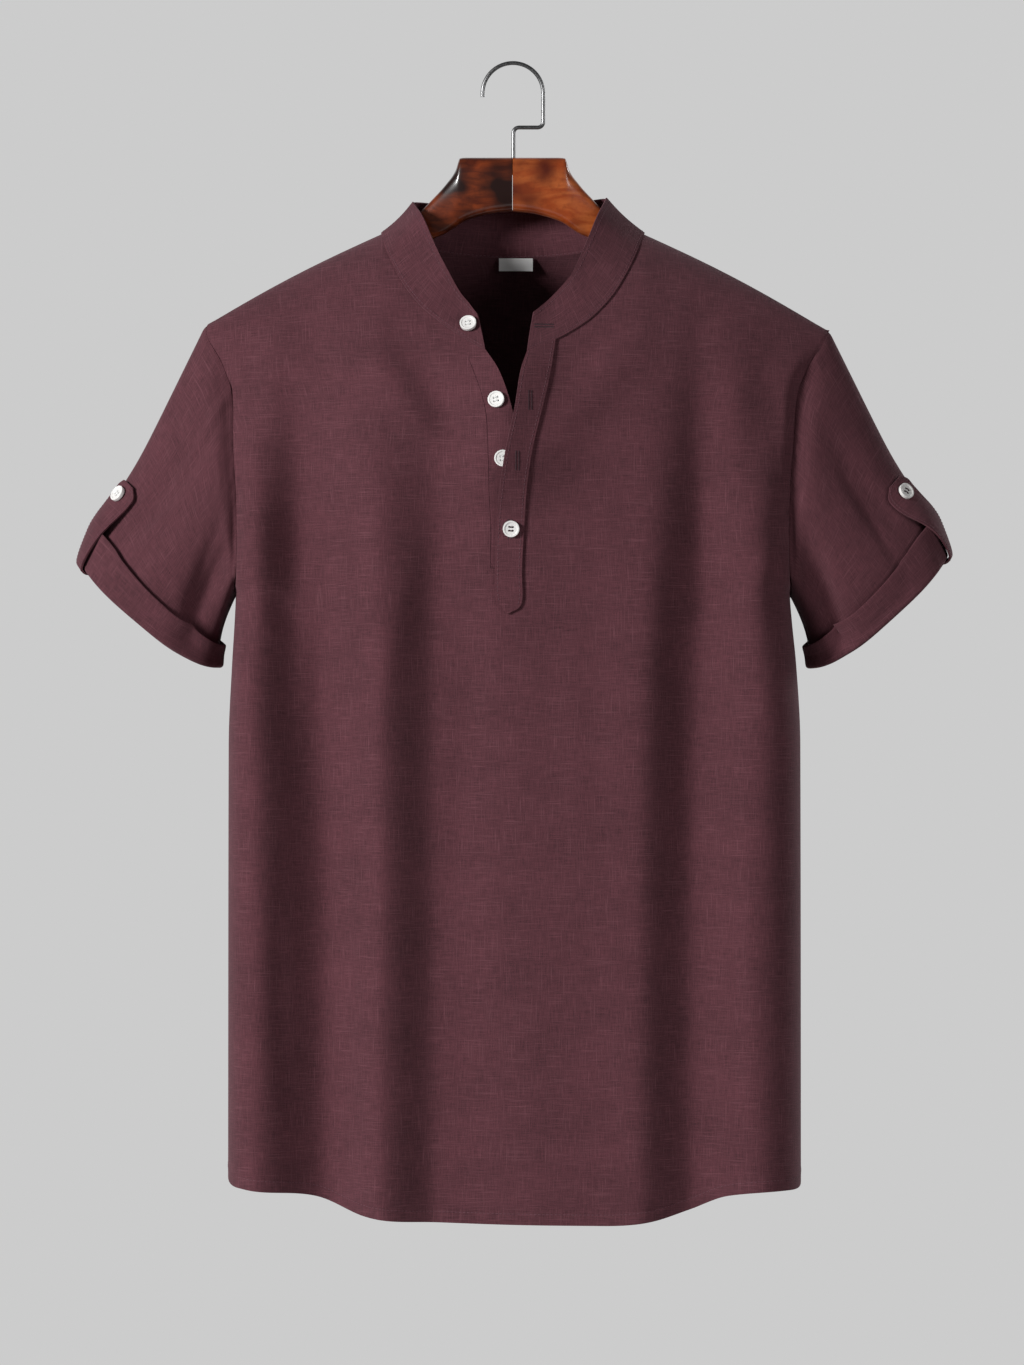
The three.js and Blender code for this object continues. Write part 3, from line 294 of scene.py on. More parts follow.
# The placket strips, from the foot up: left edge, right edge and how far the left edge
# stands off the cloth below it
UNDER_PLACKET = table(
    "left right",
    ((-16, -371.6), (2, -371.6)),
    ((-16, -343), (3, -343)),
    ((-17.2, -314), (3.4, -314)),
    ((-18, -285), (2.2, -285)),
    ((-20, -256), (0, -258)),
    ((-29, -227), (-9, -230)),
    ((-41, -199.5), (-20, -212)),
)
OVER_PLACKET = table(
    "left right lift",
    ((-4.4, -404.8), (-2.6, -404.8), 0),
    ((-12.3, -393.5), (6.6, -397), 0),
    ((-12.8, -370), (6.9, -372), 0),
    ((-12, -343), (8.4, -343), 0),
    ((-9.2, -314), (10.4, -314), 3.2),
    ((-4.6, -285), (14.6, -285), 5.4),
    ((1.6, -256), (21.6, -256), 3.8),
    ((5.8, -229), (27.6, -229), 2),
    ((10.6, -213.6), (31.4, -204.8), 0.6),
)
PANEL_WALL = 1.2
PLACKET_LAP = 0.8
LIFT_EASE = 1.5
PLACKET_COLUMNS = 15
UNDER_ROWS = 90
OVER_ROWS = 130
POINT_ROWS = 14
# The buttonholes' middles, x and z: the band's lies level and the others upright
BAND_HOLE = (23, -195)
PLACKET_HOLES = [(12.9, -250), (3.6, -294), (-1.8, -343.5)]
HOLE_HALF = 7
HOLE_STEP = 0.6
HOLE_STITCH = (-0.1, 2.2)
HOLE_REACH = 9
# Lines of stitching: how far they run in from the edge, and the size of their stitches.
# A buttonhole's lines are one stitch long, and the gap ends each of them.
EDGE_INSET = {"band_top": 3.5, "band_foot": 2, "placket": 2.2, "tab": 2}
STITCHES = {
    "body": {"length": 2.3, "gap": 0.7, "thread": 0.42},
    "tab": {"length": 2, "gap": 0.6, "thread": 0.42},
    "buttonhole": {"length": 1.4, "gap": 9, "thread": 0.5},
    "label": {"length": 1.5, "gap": 0.5, "thread": 0.3},
}
STITCH_SINK = 0.28

# Sleeves and their turned-up cuffs; side is -1 at the left of the picture
CUFFS = {
    "left": {"side": -1, "outer": (-312.5, -368.5), "inner": (-216.5, -442)},
    "right": {"side": 1, "outer": (315.5, -363), "inner": (219.5, -442.5)},
}
# The front of the cuff droops below the straight line, most of all toward the body
CUFF_DEPTH = 42
CUFF_MIDDLE_Y = -6
CUFF_SQUARENESS = 2.5
CUFF_DROOP = 12
CUFF_HEIGHT = (15, 27)
SLEEVE_FLARE = {"rise": 5, "at": 0.8, "reach": 0.18}
SLEEVE_TUCK = 3.5
SLEEVE_FOLD_EASE = 0.8
SLEEVE_LENGTH = 165
ARMHOLE_RADIUS = 60
# Shares of the sleeve's length: the step for slopes, and where it is measured round the fold
SHARE_STEP = 0.02
NEAR_FOLD = 0.97
SLEEVE_MIDDLE = (-290, -292)
SLEEVE_FOLDS = table(
    "angle width rise from to",
    (126, 20, -15, 0, 1.05),
    (84, 20, 5, 0.1, 0.95),
    (44, 15, -4, 0.15, 0.9),
    (234, 22, -13, 0, 1.05),
    (282, 24, 5, 0.1, 0.95),
)
SLEEVE_CREASES = {
    "left": table(
        "angle width rise from to lean",
        (104, 7, -2.0, 0.1, 0.8, 14),
        (46, 4, 2.6, -0.15, 0.6, 12),
        (62, 6, 1.6, 0.2, 0.95, -12),
        (150, 8, 2.2, 0.05, 0.7, 10),
        (250, 7, -2.0, 0.1, 0.9, -10),
        (310, 8, 1.6, 0.2, 0.9, 12),
    ),
    "right": table(
        "angle width rise from to lean",
        (128, 7, -2.6, 0.5, 1.0, -8),
        (96, 7, 1.8, 0.15, 0.8, 10),
        (60, 6, -1.6, 0.3, 0.95, 14),
        (244, 7, 2.0, 0.1, 0.8, 12),
        (300, 8, -1.7, 0.2, 0.9, -10),
    ),
}
SLEEVE_ROUND = 132
SLEEVE_ROWS = 84

# The cuff's section: r stands off the sleeve, and it lies h millimetres and a part of the
# cuff's height up from the fold
CUFF_ROWS = 60
CUFF_UNREST = 1.3
CUFF_PINCH = -0.6
CUFF_SECTION = table(
    "r h part",
    (-1.2, -0.7, 0),
    (-0.5, -1.5, 0),
    (1.2, -2, 0),
    (3, -1.2, 0),
    (3.8, 0.6, 0),
    (4, 6, 0),
    (4.3, 0, 0.6),
    (5.2, 0, 1),
    (4.2, 0, 1.01),
    (3.0, 0, 0.6),
    (2.4, 6, 0),
    (1.6, 1, 0),
    (0.4, -0.7, 0),
)

# The tabs: distance round the sleeve from its outer edge, at the button and at the fold
TABS = {
    "left": {"at_button": 15, "at_fold": 13},
    "right": {"at_button": 20, "at_fold": 7},
}
TAB_WIDTH = 23
TAB_BUTTON_H = 56
TAB_ROWS = 110
TAB_COLUMNS = 17
TAB_SEWN_FROM = 28
TAB_SECTION = table(
    "r h width",
    (-3.6, 57, 1),
    (-4.8, 46, 1),
    (-5, 28, 1),
    (-4.4, 6, 1),
    (-3.8, -1.4, 1),
    (-1.8, -3.2, 1),
    (1.4, -4, 1),
    (5, -3.2, 1),
    (7.2, -0.8, 1),
    (8.2, 6, 1),
    (8.2, 16, 1),
    (7.8, 27, 1),
    (6.4, 36, 1),
    (4.8, 45, 1),
    (3.8, 55, 1),
    (3.6, 62, 0.92),
    (3.6, 67, 0.5),
)

# The hanger's arms, from the centre joint out
ARM = table(
    "x top bottom thick",
    (0.15, -68.3, -108, 22),
    (16, -68.3, -109.8, 21.5),
    (32, -68.3, -114, 20),
    (38.5, -68.6, -117, 19),
    (42, -78, -119.5, 18),
    (49, -88, -124, 16),
    (58, -98, -128, 14),
    (69, -109, -132.5, 12),
    (82, -119.5, -138, 11),
    (97, -128.8, -146, 11),
    (130, -145, -163, 13),
    (165, -162.5, -182, 15),
    (195, -179.5, -200, 17),
    (207, -187.5, -205, 15),
    (213, -193, -203.5, 9),
)
ARM_SQUARENESS = 3
ARM_RINGS = 120
ARM_SIDES = 56
BORE_RADIUS = 1.9
BORE_DEPTH = 28
BORE_SIDES = 24

# The wire hook
WIRE = 3
BOW_TURN = 1.04 * math.pi
HOOK = {"stem_x": 0.7, "stem_foot": -81, "jog_z": -46, "riser_x": 22.6, "bow_z": -20.8,
        "bow": 22.3, "corner": 4}

# Buttons and the thread that holds them
BUTTON = {"radius": 6, "thick": 2.4, "rim": 1.1, "dish": 0.6, "round": 0.35, "sides": 64}
HOLE = {"radius": 0.75, "out": 1.35, "deep": 8, "sides": 20}
STRAND = {"radius": 0.17, "apart": 0.28, "drift": 0.05, "foot": 1.95, "arch": 0.32, "sink": 1.5}
DARK_SEWN = ("placket_button_4", "tab_button_right")

# The label, as it hangs off the back
BACK_NECK_Z = -140
LABEL = {"cloth": 0.5, "off": 2.6, "belly": 0.5, "middle": 2, "half": 7,
         "top_inset": 0.8, "side_inset": 1, "columns": 30, "rows": 14}


# Reading tables and curves


def glide(places, values, at):
    """Values between the places, on a smooth curve that never overshoots them."""
    places, values = np.asarray(places, float), np.asarray(values, float)
    at = np.asarray(at, float)
    step = np.diff(places)
    slope = np.diff(values) / step
    tangent = np.concatenate([slope[:1], (slope[1:] + slope[:-1]) / 2, slope[-1:]])
    turning = np.concatenate([[False], slope[1:] * slope[:-1] <= 0, [False]])
    tangent[turning] = 0
    limit = STEEPEST * np.minimum(np.abs(np.concatenate([slope[:1], slope])),
                                  np.abs(np.concatenate([slope, slope[-1:]])))
    tangent = np.clip(tangent, -limit, limit)
    i = np.clip(np.searchsorted(places, at) - 1, 0, len(step) - 1)
    t = np.clip((at - places[i]) / step[i], 0, 1)
    low, high = values[i], values[i + 1]
    lean_low, lean_high = tangent[i] * step[i], tangent[i + 1] * step[i]
    return (
        low * (1 + 2 * t) * (1 - t) ** 2
        + high * t * t * (3 - 2 * t)
        + lean_low * t * (1 - t) ** 2
        - lean_high * t * t * (1 - t)
    )


def listed(rows, column):
    return [row[column] for row in rows]


def read(rows, key, place, column):
    """A column's value at a place between the rows, by their key."""
    rows = sorted(rows, key=lambda row: row[key])
    return glide(listed(rows, key), listed(rows, column), place)


def mix(a, b, share):
    return a + (b - a) * share


def smooth(value):
    t = np.clip(value, 0, 1)
    return t * t * (3 - 2 * t)


def hump(aside, reach):
    """1 where aside is 0, and falling away over the reach."""
    return np.exp(-((aside / reach) ** 2))


def squared(wave, squareness):
    """A sine or cosine pushed out, so that the round drawn with it is squarer."""
    return np.sign(wave) * np.abs(wave) ** (2 / squareness)


def stack(x, y, z):
    return np.stack(np.broadcast_arrays(x, y, z), axis=-1).astype(float)


def unit(vectors):
    return vectors / np.maximum(np.linalg.norm(vectors, axis=-1, keepdims=True), 1e-12)


def along(points):
    """How far each point lies along the line through them."""
    steps = np.linalg.norm(np.diff(points, axis=0), axis=1)
    return np.concatenate([[0], np.cumsum(steps)])


def point_at(distance, far, points):
    return np.stack([np.interp(distance, far, points[:, k]) for k in range(3)], axis=-1)


def even(count, line_at, low=0.0, high=1.0):
    """Parameters from low to high that space the points of a line evenly."""
    fine = np.linspace(low, high, FINE)
    far = along(line_at(fine))
    return np.interp(np.linspace(0, far[-1], count), far, fine)


def through(rows, count, closed=False):
    """Rows of points, with a smooth curve run through them from row to row."""
    rows = np.asarray(rows, float)
    if closed:
        padded = np.concatenate([rows[-1:], rows, rows[:2]])
        spans = len(rows)
    else:
        padded = np.concatenate([2 * rows[:1] - rows[1:2], rows, 2 * rows[-1:] - rows[-2:-1]])
        spans = len(rows) - 1
    place = np.linspace(0, spans, count, endpoint=not closed)
    i = np.minimum(place.astype(int), spans - 1)
    t = (place - i).reshape((-1,) + (1,) * (rows.ndim - 1))
    a, b, c, d = (padded[i + k] for k in range(4))
    return 0.5 * (
        2 * b
        + (c - a) * t
        + (2 * a - 5 * b + 4 * c - d) * t ** 2
        + (3 * b - a - 3 * c + d) * t ** 3
    )


# The body's surface


def shoulder_z(x):
    across = np.abs(x)
    share = np.clip((across - NECK_POINT[0]) / (SHOULDER_TIP[0] - NECK_POINT[0]), 0, 1)
    slope = mix(NECK_POINT[1], SHOULDER_TIP[1], share) + SHOULDER_BOW * np.sin(np.pi * share)
    beyond = np.maximum(across - SHOULDER_TIP[0], 0)
    fall = (SHOULDER_TIP[1] - NECK_POINT[1]) / (SHOULDER_TIP[0] - NECK_POINT[0])
    neck = NECK_RISE * np.clip(1 - (across / NECK_POINT[0]) ** 2, 0, 1)
    return slope + beyond * fall + neck


def sweep(x):
    return -FORWARD_SWEEP * smooth((np.abs(x) - SWEEP_START) / SWEEP_RUN)


def crease_height(creases, x, z):
    height = 0.0
    for crease in creases:
        (x0, z0), (x1, z1) = crease["from"], crease["to"]
        dx, dz = x1 - x0, z1 - z0
        length = math.hypot(dx, dz)
        run = ((x - x0) * dx + (z - z0) * dz) / length ** 2
        aside = ((x - x0) * dz - (z - z0) * dx) / length
        inside = np.clip(run, 0, 1)
        fade = np.sin(np.pi * inside)
        aside = aside - crease["bow"] * fade
        height = height + crease["rise"] * fade * hump(aside, crease["width"])
    return height


def front_folds(x, z):
    place = x
    for lean in FOLD_LEAN:
        near = hump(x - lean["x"], lean["reach"])
        place = place + lean["shift"] * near * smooth((z - LEAN_FOOT) / LEAN_RUN)
    start = read(FRONT_FOLDS, "x", place, "start")
    return read(FRONT_FOLDS, "x", place, "rise") * smooth((start - z) / FOLD_RUN)


def back_folds(x, z):
    height = 0.0
    for fold in BACK_FOLDS:
        near = hump(x - fold["x"], fold["width"])
        height = height + fold["rise"] * near * smooth((fold["start"] - z) / FOLD_RUN)
    return height


def ripple(which, x, z):
    """Soft uneven unrest of the cloth: three slow waves that cross each other."""
    waves = RIPPLES[which]
    a, b, start = x / waves["length"], z / waves["length"], waves["start"]
    return waves["rise"] * (
        np.sin(1.7 * a + 0.31 * b + start)
        + 0.8 * np.sin(0.9 * a - 0.7 * b + 2.3 * start)
        + 0.6 * np.sin(2.9 * a + 0.43 * b + 1.1 * start) * np.sin(0.37 * b + start)
    ) / 2.4


def body_depth(x, z, chest):
    section = read(TRUNK, "z", z, "section")
    across = np.abs(x - read(TRUNK, "z", z, "middle")) / section
    square = read(TRUNK, "z", z, "square")
    round_off = np.maximum(0, 1 - across ** square) ** (1 / square)
    below = np.clip((shoulder_z(x) - z) / SHOULDER_ROUND, 0, 1)
    return chest * round_off * np.sin((np.pi / 2) * below) ** SHOULDER_EASE


def sweep_here(x, z):
    return sweep(x) * np.exp(-np.maximum(0, shoulder_z(x) - z) / SWEEP_FADE)


def front_point(x, z):
    x, z = np.asarray(x, float), np.asarray(z, float)
    depth = body_depth(x, z, CHEST_FRONT)
    firm = smooth(depth / FIRM_DEPTH)
    beak = BEAK["rise"] * smooth((BEAK["top"] - z) / BEAK["ease"])
    beak = beak * smooth((z - BEAK["foot"]) / BEAK["ease"])
    beak = beak * hump(x, BEAK["width"])
    folds = front_folds(x, z) + crease_height(FRONT_CREASES, x, z) + ripple("front", x, z)
    return stack(x, -SEAM / 2 - depth - folds * firm - beak + sweep_here(x, z), z)


def back_point(x, z):
    x, z = np.asarray(x, float), np.asarray(z, float)
    depth = body_depth(x, z, CHEST_BACK)
    folds = back_folds(x, z) + crease_height(BACK_CREASES, x, z) + ripple("back", x, z)
    return stack(x, SEAM / 2 + depth + folds * smooth(depth / FIRM_DEPTH) + sweep_here(x, z), z)


def side_x(side, z):
    return read(TRUNK, "z", z, "middle") + side * read(TRUNK, "z", z, "half")


def hem_z(x):
    middle = read(TRUNK, "z", UNDERARM_Z, "middle")
    across = np.minimum(1, np.abs(x - middle) / read(TRUNK, "z", UNDERARM_Z, "half"))
    forward = (1 - across ** HEM_SIDE["square"]) ** (1 / HEM_SIDE["square"])
    return read(HEM, "x", x, "z") + HEM_SIDE["rise"] * smooth(1 - forward / HEM_SIDE["reach"])


def column_share(u):
    return COLUMN_SPREAD * (1 - u) + (1 - COLUMN_SPREAD) * np.cos((np.pi / 2) * u)


def on_shoulder(x, z, t):
    """Heights, with the topmost rows eased on to the shoulder line."""
    return mix(z, shoulder_z(x), smooth(t - (TOP_ROW - 1)))


def upper_place(which, side, u, t):
    """x and z on a panel's half above the underarm: u runs in from the armhole, t up."""
    rows = np.arange(len(UPPER_ROWS))
    arm = glide(rows, listed(UPPER_ROWS, "arm"), t)
    key = "back" if which == "back" else ("left" if side < 0 else "right")
    mirror = side if which == "back" else 1
    edge = np.array(listed(UPPER_ROWS, key))
    inner_x = mirror * glide(rows, edge[:, 0], t)
    inner_z = glide(rows, edge[:, 1], t)
    share = column_share(u)
    x = mix(inner_x, side_x(side, arm), share)
    z = mix(inner_z, arm, share)
    out = np.clip((np.abs(x) - NECK_POINT[0]) / (SHOULDER_TIP[0] - NECK_POINT[0]), 0, 1)
    z = z + SHOULDER_BOW * np.sin(np.pi * out) * smooth((t - BACK_NECK_ROW) / (TOP_ROW - BACK_NECK_ROW))
    return x, on_shoulder(x, z, t)


def lower_place(side, u, share, inner_x):
    flat_x = mix(inner_x, side_x(side, UNDERARM_Z), column_share(u))
    z = mix(hem_z(flat_x), UNDERARM_Z, share)
    return mix(inner_x, side_x(side, z), column_share(u)), z


COLUMNS = even(SIDE_COLUMNS,
               lambda u: front_point(side_x(1, HANGING_Z) * column_share(u), HANGING_Z))
COLUMNS[0], COLUMNS[-1] = 0, 1
FINE_T = np.linspace(0, TOP_ROW, FINE)


def upper_rows():
    x, z = upper_place("front", 1, SPACING_COLUMN, FINE_T)
    far = along(front_point(x, z))
    t = np.interp(np.linspace(0, far[-1], UPPER_COUNT), far, FINE_T)
    for stop in (SLIT_FOOT_ROW, BACK_NECK_ROW):
        t[np.abs(t - stop).argmin()] = stop
    return t


def lower_rows():
    depth = hem_z(0) - UNDERARM_Z
    close = np.linspace(0, HEM_CLOSE, HEM_CLOSE_ROWS + 1)
    rest = np.linspace(HEM_CLOSE, -depth, LOWER_COUNT - HEM_CLOSE_ROWS)[1:]
    return np.concatenate([close, rest]) / -depth


T_ROWS = upper_rows()
S_ROWS = lower_rows()


def hem_swell(grid, out):
    """The turned hem: a doubled edge, a dent along its stitching, and small puckers."""
    for c in range(grid.shape[1]):
        far = along(grid[:HEM_ROWS, c]) - HEM_TURN
        x = grid[0, c, 0]
        swing = math.sin(x / HEM_PUCKER["wave"] + 2 * math.sin(x / HEM_PUCKER["drift"]))
        pucker = HEM_PUCKER["rise"] * swing * math.sin(x / HEM_PUCKER["beat"])
        turned = HEM_SWELL * (1 - smooth(far / 1.2 + 0.5))
        dent = -HEM_DENT["depth"] * hump(far, HEM_DENT["reach"])
        unrest = pucker * hump(far, HEM_PUCKER["fade"])
        grid[:HEM_ROWS, c, 1] += out * (turned + dent + unrest)
    return grid


def seam_dip(seam, run, far):
    """How far the cloth sinks and puckers at a distance from a seam and a run along it."""
    pucker = seam["rise"] * np.sin(run / seam["wave"] + seam["swing"] * np.sin(run / seam["drift"]))
    pucker = pucker * hump(far, seam["fade"]) * smooth(far / SEAM_EASE)
    return pucker - seam["depth"] * hump(far, seam["reach"])


def armhole_trough(z):
    """How strongly the cloth sinks beside the armhole, by height on its edge."""
    set_in = smooth((TROUGH_TOP - z) / TROUGH_SET_IN)
    return set_in * smooth((z - TROUGH_FOOT) / TROUGH_RUN_OUT)


def panel_half(which, side):
    """One half of a panel as rows of points from the hem up, and the cloth's own map."""
    inner_x = {"back": 0, "front": UPPER_ROWS[0]["left" if side < 0 else "right"][0]}[which]
    point = front_point if which == "front" else back_point
    low_x, low_z = lower_place(side, COLUMNS[None, :], S_ROWS[:, None], inner_x)
    up_x, up_z = upper_place(which, side, COLUMNS[None, :], T_ROWS[1:, None])
    x, z = np.concatenate([low_x, up_x]), np.concatenate([low_z, up_z])
    z = np.minimum(z, shoulder_z(x))
    grid = hem_swell(point(x, z), -1 if which == "front" else 1)
    out = np.stack([along(row[::-1])[::-1] for row in grid])
    beside = hump(out[:, :1] - out, TROUGH["body"])
    grid[..., 1] += TROUGH[which] * armhole_trough(grid[:, :1, 2]) * beside
    return seam_groove(grid), cloth_map(x[:, -1:] + side * out, x, z)


def seam_groove(grid):
    """Sinks the cloth a little where it runs into the side and armhole seams."""
    far = np.stack([along(row) for row in grid])
    depth = seam_dip(SIDE_SEAM, grid[..., 2], far)
    normals = grid_normals(grid)
    outward = np.sign(grid[..., 1].mean()) * np.sign(normals[..., 1].mean())
    return grid + outward * normals * depth[..., None]


def cloth_map(across, x, z):
    """Where each point lies on the flat cloth, in millimetres: the threads hang plumb."""
    drop = np.linspace(0, SHOULDER_ROUND, MAP_STEPS)
    rise = MAP_DEPTH * np.sin((np.pi / 2) * drop / SHOULDER_ROUND) ** SHOULDER_EASE
    extra = along(np.stack([drop, rise], axis=1)) - drop
    up = z + extra[-1] - np.interp(np.maximum(shoulder_z(x) - z, 0), drop, extra)
    return np.stack([across, up], axis=-1)


# Grids, meshes and sewing


def grid_normals(grid, ring=False):
    if ring:
        across = np.roll(grid, -1, axis=1) - np.roll(grid, 1, axis=1)
    else:
        across = np.gradient(grid, axis=1)
    up = np.gradient(grid, axis=0)
    return unit(np.cross(across, up))


def mesh_piece(name, parts):
    """Makes one object from grids of points: (grid, map, ring) each, in millimetres."""
    corners, faces, maps = [], [], []
    for grid, flat, ring in parts:
        rows, columns = grid.shape[:2]
        base = len(corners)
        corners.extend((grid.reshape(-1, 3) * MM).tolist())
        for r in range(rows - 1):
            for c in range(columns if ring else columns - 1):
                d = (c + 1) % columns
                faces.append([base + r * columns + c, base + r * columns + d,
                              base + (r + 1) * columns + d, base + (r + 1) * columns + c])
                maps.extend(flat[i, j] for i, j in
                            ((r, c), (r, c + 1), (r + 1, c + 1), (r + 1, c)))
    mesh = new_mesh(name, corners, faces)
    layer = mesh.uv_layers.new(name="cloth")
    layer.data.foreach_set("uv", np.asarray(maps, np.float32).ravel())
    work = bmesh.new()
    work.from_mesh(mesh)
    bmesh.ops.remove_doubles(work, verts=work.verts, dist=WELD * MM)
    work.to_mesh(mesh)
    work.free()
    return add_object(name, mesh)


def new_mesh(name, corners, faces):
    mesh = bpy.data.meshes.new(name)
    mesh.from_pydata(corners, [], faces)
    return mesh


def add_object(name, data):
    made = bpy.data.objects.new(name, data)
    bpy.context.scene.collection.objects.link(made)
    return made


def make_active(piece):
    bpy.ops.object.select_all(action="DESELECT")
    piece.select_set(True)
    bpy.context.view_layer.objects.active = piece


def apply_all(piece):
    make_active(piece)
    for modifier in list(piece.modifiers):
        bpy.ops.object.modifier_apply(modifier=modifier.name)


def close_and_turn_out(piece):
    """Fills the ends of a tube and turns its faces outward."""
    make_active(piece)
    bpy.ops.object.mode_set(mode="EDIT")
    bpy.ops.mesh.select_all(action="SELECT")
    bpy.ops.mesh.fill_holes(sides=0)
    bpy.ops.mesh.normals_make_consistent(inside=False)
    bpy.ops.object.mode_set(mode="OBJECT")


def drill(piece, radius, depth, place, sides):
    """Bores a round hole up through a piece; everything is in millimetres."""
    bpy.ops.mesh.primitive_cylinder_add(vertices=sides, radius=radius * MM, depth=depth * MM,
                                        location=[n * MM for n in place])
    bit = bpy.context.object
    cut = piece.modifiers.new("hole", "BOOLEAN")
    cut.object = bit
    cut.operation = "DIFFERENCE"
    cut.solver = "EXACT"
    apply_all(piece)
    bpy.data.objects.remove(bit)


def thicken(piece, thickness):
    """Gives a sheet its thickness, inward from the modelled face."""
    wall = piece.modifiers.new("thickness", "SOLIDIFY")
    wall.thickness = thickness * MM
    wall.offset = -1
    apply_all(piece)
    smooth_shade(piece, "cloth")
    return piece


def smooth_shade(piece, kind):
    make_active(piece)
    bpy.ops.object.shade_smooth_by_angle(angle=math.radians(SHARP[kind]))


def dress(piece, material, slot, *nodes):
    piece.data.materials.clear()
    piece.data.materials.append(material)
    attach(piece, "root")
    if nodes:
        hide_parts(*nodes)
    return piece


def from_edge(grid, edge):
    """A grid's rows as they run in from one of its edges."""
    return {"top": grid[::-1], "bottom": grid, "left": grid.transpose(1, 0, 2),
            "right": grid[:, ::-1].transpose(1, 0, 2)}[edge]


def line_inside(grid, inset, edge):
    """A line of points and normals that runs a distance in from one edge of a grid."""
    turned, faced = from_edge(grid, edge), from_edge(grid_normals(grid), edge)
    points, facing = [], []
    for c in range(turned.shape[1]):
        far = along(turned[:, c])
        points.append(point_at(inset, far, turned[:, c]))
        facing.append(point_at(inset, far, faced[:, c]))
    return np.array(points), unit(np.array(facing))


def stitch_shape():
    """One stitch of thread, a millimetre long along X and sunk at both ends."""
    bpy.ops.mesh.primitive_cylinder_add(vertices=6, radius=0.5, depth=1, end_fill_type="NOTHING",
                                        rotation=(0, math.pi / 2, 0))
    stitch = bpy.context.object
    bpy.ops.object.transform_apply(location=False, rotation=True, scale=False)
    bpy.ops.object.mode_set(mode="EDIT")
    for x in (0.2, -0.2):
        bpy.ops.mesh.select_all(action="SELECT")
        bpy.ops.mesh.bisect(plane_co=(x, 0, 0), plane_no=(1, 0, 0))
    bpy.ops.object.mode_set(mode="OBJECT")
    for v in stitch.data.vertices:
        if abs(v.co.x) > 0.4:
            v.co.y *= 0.5
            v.co.z = v.co.z * 0.3 - 0.55
    shape = (np.array([v.co for v in stitch.data.vertices]),
             [list(p.vertices) for p in stitch.data.polygons])
    bpy.data.objects.remove(stitch)
    return shape


STITCH = stitch_shape()


def sew(name, lines, length, gap, thread):
    """Lays a row of stitches along each line of (points, normals), as one mesh."""
    shape, shape_faces = STITCH
    corners, faces = [], []
    for points, normals in lines:
        far = along(points)
        for start in np.arange(0.5, far[-1] - length, length + gap):
            low, high = point_at(start, far, points), point_at(start + length, far, points)
            forward = unit(high - low)
            aside = unit(np.cross(unit(point_at(start, far, normals)), forward))
            facing = np.cross(forward, aside)
            middle = (low + high) / 2 + facing * STITCH_SINK * thread
            size = np.linalg.norm(high - low)
            placed = (middle + np.outer(shape[:, 0] * size, forward)
                      + np.outer(shape[:, 1] * thread, aside)
                      + np.outer(shape[:, 2] * thread, facing))
            base = len(corners)
            corners.extend((placed * MM).tolist())
            faces.extend([[base + i for i in face] for face in shape_faces])
    mesh = new_mesh(name, corners, faces)
    mesh.shade_smooth()
    return add_object(name, mesh)


def wire_piece(name, lines, radius, resolution, capped):
    """Round wires along lines of points in millimetres, as one mesh object."""
    curve = bpy.data.curves.new(name, "CURVE")
    curve.dimensions = "3D"
    curve.bevel_depth = radius * MM
    curve.bevel_resolution = resolution
    curve.use_fill_caps = capped
    for line in lines:
        spline = curve.splines.new("POLY")
        spline.points.add(len(line) - 1)
        for point, place in zip(spline.points, np.asarray(line, float) * MM):
            point.co = (*place, 1)
    make_active(add_object(name, curve))
    bpy.ops.object.convert(target="MESH")
    return bpy.context.object


# Materials


def feed(tree, socket, value):
    """Gives a socket a number, a colour, or what another node puts out."""
    if isinstance(value, bpy.types.NodeSocket):
        tree.links.new(value, socket)
    elif socket.type == "RGBA":
        socket.default_value = (*value, 1)
    else:
        socket.default_value = value


def node(tree, kind, inputs=None, **settings):
    made = tree.nodes.new(kind)
    for key, value in settings.items():
        setattr(made, key, value)
    for place, value in (inputs or {}).items():
        feed(tree, made.inputs[place], value)
    return made


def math_node(tree, operation, *values):
    return node(tree, "ShaderNodeMath", dict(enumerate(values)), operation=operation).outputs[0]


def mix_colour(tree, share, a, b):
    return node(tree, "ShaderNodeMix", {0: share, 6: a, 7: b}, data_type="RGBA").outputs[2]


def ranged(tree, value, low, high, to_low=0.0, to_high=1.0):
    inputs = {0: value, 1: low, 2: high, 3: to_low, 4: to_high}
    return node(tree, "ShaderNodeMapRange", inputs).outputs[0]


def noise_on(tree, source, **values):
    """A cloudy pattern read at the places that source gives."""
    return node(tree, "ShaderNodeTexNoise", {"Vector": source, **values}).outputs["Fac"]


def on_object(tree):
    return node(tree, "ShaderNodeTexCoord").outputs["Object"]


def relief(tree, height, strength, distance):
    return node(tree, "ShaderNodeBump", {
        "Height": height, "Strength": strength, "Distance": distance * MM}).outputs[0]


def new_material(name):
    material = bpy.data.materials.new(name)
    material.use_nodes = True
    return material, material.node_tree


def finished(material, inputs):
    """Feeds a material's shader, and hands the material back."""
    shader = material.node_tree.nodes["Principled BSDF"]
    for label, value in inputs.items():
        feed(material.node_tree, shader.inputs[label], value)
    return material


def stretched_noise(tree, source, scale, detail, seed):
    """Noise over the cloth's map, its grain drawn out along one axis."""
    place = node(tree, "ShaderNodeMapping", {
        "Vector": source, "Scale": (*scale, 1), "Location": (seed, seed * 0.7, 0)})
    noise = node(tree, "ShaderNodeTexNoise", noise_dimensions="2D", inputs={
        "Vector": place.outputs[0], "Scale": 1, "Detail": detail, "Roughness": 0.6})
    return noise.outputs["Fac"]


